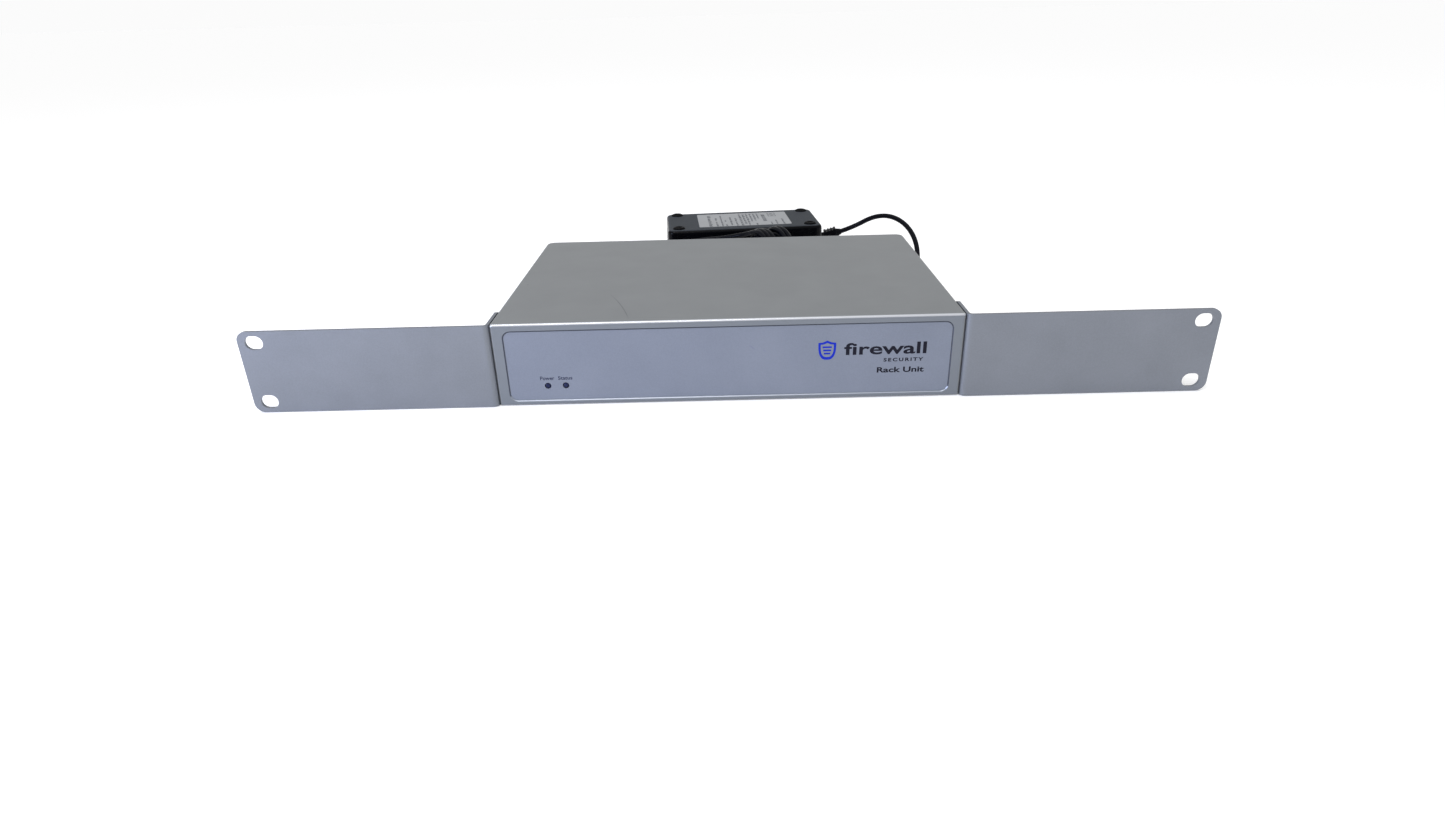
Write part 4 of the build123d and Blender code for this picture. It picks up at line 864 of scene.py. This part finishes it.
# %% Lamp windows on the jacks
port_xs.append((wan_low.x + wan_high.x) / 2)
window_w = 2.6 * MM
window_h = 1.5 * MM
window_side = 5.0 * MM
window_drop = 1.9 * MM
window_sunk = 0.3 * MM
window_proud = 0.12 * MM
green_lens = grained("green_tinted_window", "#2b5a3a", "#3c7a4e", grain_mm=0.8, rough=(0.12, 0.22),
                     depth_mm=0.003, drift_mm=2.0, IOR=1.5)
windows = bmesh.new()
for x in port_xs:
    for side in (-1, 1):
        middle_x = x + side * window_side
        top = lan_high.z - window_drop + window_h / 2
        add_block(windows, (middle_x - window_w / 2, lan_high.y - window_sunk, top - window_h),
                  (middle_x + window_w / 2, lan_high.y + window_proud, top), bevel=0.1 * MM)
mesh_piece("jack_lamp_windows", windows, green_lens, "appliance")
print("lamp windows:", 2 * len(port_xs))

# %% Springs inside the jacks
contact_low, contact_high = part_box("jack_contacts")
contact_pitch = 1.02 * MM
contact_r = 0.2 * MM
contacts_per_jack = 8
springs = bpy.data.curves.new("jack_springs", "CURVE")
springs.dimensions = "3D"
springs.bevel_depth = contact_r
springs.bevel_resolution = 2
springs.resolution_u = 4
floor_z = contact_low.z + contact_r
# (y, z) along one spring: along the port's floor, up, and level again at the back
spring_path = [
    (contact_high.y, floor_z),
    (contact_high.y - 1.0 * MM, floor_z),
    (contact_high.y - 5.0 * MM, floor_z + 2.6 * MM),
    (contact_low.y + 1.2 * MM, floor_z + 3.6 * MM),
    (contact_low.y, floor_z + 3.6 * MM),
]
for x in port_xs:
    for i in range(contacts_per_jack):
        wire_x = x + (i - (contacts_per_jack - 1) / 2) * contact_pitch
        spline = springs.splines.new("NURBS")
        spline.points.add(len(spring_path) - 1)
        for corner, (y, z) in zip(spline.points, spring_path):
            corner.co = (wire_x, y, z, 1)
        spline.order_u = 3
        spline.use_endpoint_u = True
jack_springs = bpy.data.objects.new("jack_springs", springs)
bpy.context.scene.collection.objects.link(jack_springs)
spring_count = len(springs.splines)
jack_springs = as_mesh(jack_springs)
finish_piece(jack_springs, finishes["contact_gold"], "appliance")
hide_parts("jack_contacts")
print("springs:", spring_count, "in", len(port_xs), "ports")

# %% [markdown]
# ## The power supply's feet and label
# Each foot is a soft rubber button with a dished top, so it is turned like a pot on a wheel: a
# profile from its middle to its rim, swept round.  The label's print is too small to read on the
# real one, so short bars of ink stand for its lines of type, with a bar pattern and two framed dots.

# %% Frame of the tilted power supply
adapter_turn = math.radians(4.2)
adapter_middle = (base_low + base_high) / 2
along = Vector((math.cos(adapter_turn), math.sin(adapter_turn), 0))
across = Vector((-math.sin(adapter_turn), math.cos(adapter_turn), 0))


def on_adapter(u, v, z):
    """A point given along and across the power supply, from its middle."""
    return Vector((adapter_middle.x, adapter_middle.y, 0)) + along * u + across * v + Vector((0, 0, z))


# %% Turned feet
foot_low, foot_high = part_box("adapter_feet")
foot_r = 4.5 * MM
# how far each foot is from the middle, along and across the power supply
foot_u = 48.8 * MM
foot_v = 21.9 * MM
foot_h = foot_high.z - foot_low.z
# (share of the radius, share of the height) from the dish's middle out to the rim and down
foot_profile = [(0.0, 0.62), (0.2, 0.64), (0.38, 0.72), (0.5, 0.92), (0.58, 1.0), (0.7, 1.0), (0.82, 0.93),
                (0.92, 0.78), (0.97, 0.6), (1.0, 0.42), (1.0, 0.0)]
foot_steps = 32
feet = bmesh.new()
for side_u in (-1, 1):
    for side_v in (-1, 1):
        middle = on_adapter(side_u * foot_u, side_v * foot_v, foot_low.z)
        rings = []
        for share_r, share_h in foot_profile[1:]:
            ring = []
            for i in range(foot_steps):
                angle = i / foot_steps * math.tau
                out = Vector((math.cos(angle), math.sin(angle), 0)) * foot_r * share_r
                ring.append(feet.verts.new(middle + out + Vector((0, 0, foot_h * share_h))))
            rings.append(ring)
        centre = feet.verts.new(middle + Vector((0, 0, foot_h * foot_profile[0][1])))
        for i in range(foot_steps):
            after = (i + 1) % foot_steps
            feet.faces.new((centre, rings[0][i], rings[0][after]))
            for inner, outer in zip(rings, rings[1:]):
                feet.faces.new((inner[i], outer[i], outer[after], inner[after]))
        feet.faces.new(list(reversed(rings[-1])))
for face in feet.faces:
    face.smooth = len(face.verts) < foot_steps
turned_feet = mesh_piece("turned_feet", feet, finishes["foot_rubber"], "power_supply")
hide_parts("adapter_feet")
print("feet:", round(foot_h / MM, 2), "mm high")

# %% Print on the rating label
sticker_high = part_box("adapter_sticker")[1]
sticker_w = 41.5 * MM
sticker_u = 1.0 * MM
label_rng = random.Random(11)
label_print = bmesh.new()


def ink_block(u0, u1, v0, v1):
    """A thin bar of ink on the label; u runs along the power supply, v across it."""
    made = bmesh.ops.create_cube(label_print, size=1.0)
    bmesh.ops.scale(label_print, vec=(u1 - u0, v1 - v0, ink_t), verts=made["verts"])
    turn = Matrix.Rotation(adapter_turn, 3, "Z")
    bmesh.ops.rotate(label_print, cent=(0, 0, 0), matrix=turn, verts=made["verts"])
    place = on_adapter(sticker_u + (u0 + u1) / 2, (v0 + v1) / 2, sticker_high.z + ink_t / 2)
    bmesh.ops.translate(label_print, vec=place, verts=made["verts"])


def type_line(u, v0, v1, letter_w, letter_h):
    """A line of small type that runs across the label, broken into words."""
    v = v0
    while v < v1 - letter_w:
        for _ in range(label_rng.randint(2, 8)):
            if v > v1 - letter_w:
                break
            tall = letter_h * label_rng.choice((0.7, 0.7, 1.0))
            ink_block(u, u + tall, v, v + letter_w * 0.74)
            v += letter_w
        v += letter_w * 0.9


print_margin = 2.2 * MM
half_v = sticker_w / 2 - print_margin
# (place along the label, start and end across it, letter height), in millimetres
type_lines = [(-27.0, -20, 16, 2.6), (-21.5, -20, -5, 1.5), (-21.5, -1, 8, 1.5), (-17.5, -20, 14, 1.5),
              (-14.5, -20, -13, 1.5), (-14.5, -6, 0, 1.5), (-10.5, -18, 9, 1.7), (-6.5, -20, 6, 1.5),
              (-2.8, -20, 18, 2.0), (0.0, -16, 18, 2.0), (2.8, -20, 18, 1.6), (5.6, -8, 18, 1.6),
              (8.4, -20, -14, 1.5), (8.4, -6, 18, 1.5), (11.2, 0, 18, 1.4), (19.5, -20, -12, 1.3),
              (23.5, -20, -6, 1.4), (28.5, -20, -2, 1.5)]
for u, v0, v1, letter in type_lines:
    type_line(u * MM, v0 * MM, min(v1 * MM, half_v), letter * 0.62 * MM, letter * MM)

# %% Bar pattern and two framed dots
for i in range(24):
    bar_v = (-9.0 + i * 0.95) * MM
    ink_block(14.6 * MM, 17.4 * MM, bar_v, bar_v + label_rng.choice((0.3, 0.5, 0.65)) * MM)
# (start and end along the label, start and end across it) of a frame's four sides and its dot, in mm
frame_bars = [(20, 26, 0, 0.5), (20, 26, 4.6, 5.1), (20, 20.5, 0, 5.1), (25.5, 26, 0, 5.1),
              (22, 24, 1.8, 3.3)]
for frame_v in (6.0, 12.5):
    for u0, u1, v0, v1 in frame_bars:
        ink_block(u0 * MM, u1 * MM, (frame_v + v0) * MM, (frame_v + v1) * MM)
print("bars of ink on the label:", len(label_print.faces) // 6)
mesh_piece("label_print", label_print, label_ink, "power_supply")

# %% [markdown]
# ## Finish
# The view layer is brought up to date at the end.

# %% Bring the view layer up to date
bpy.context.view_layer.update()
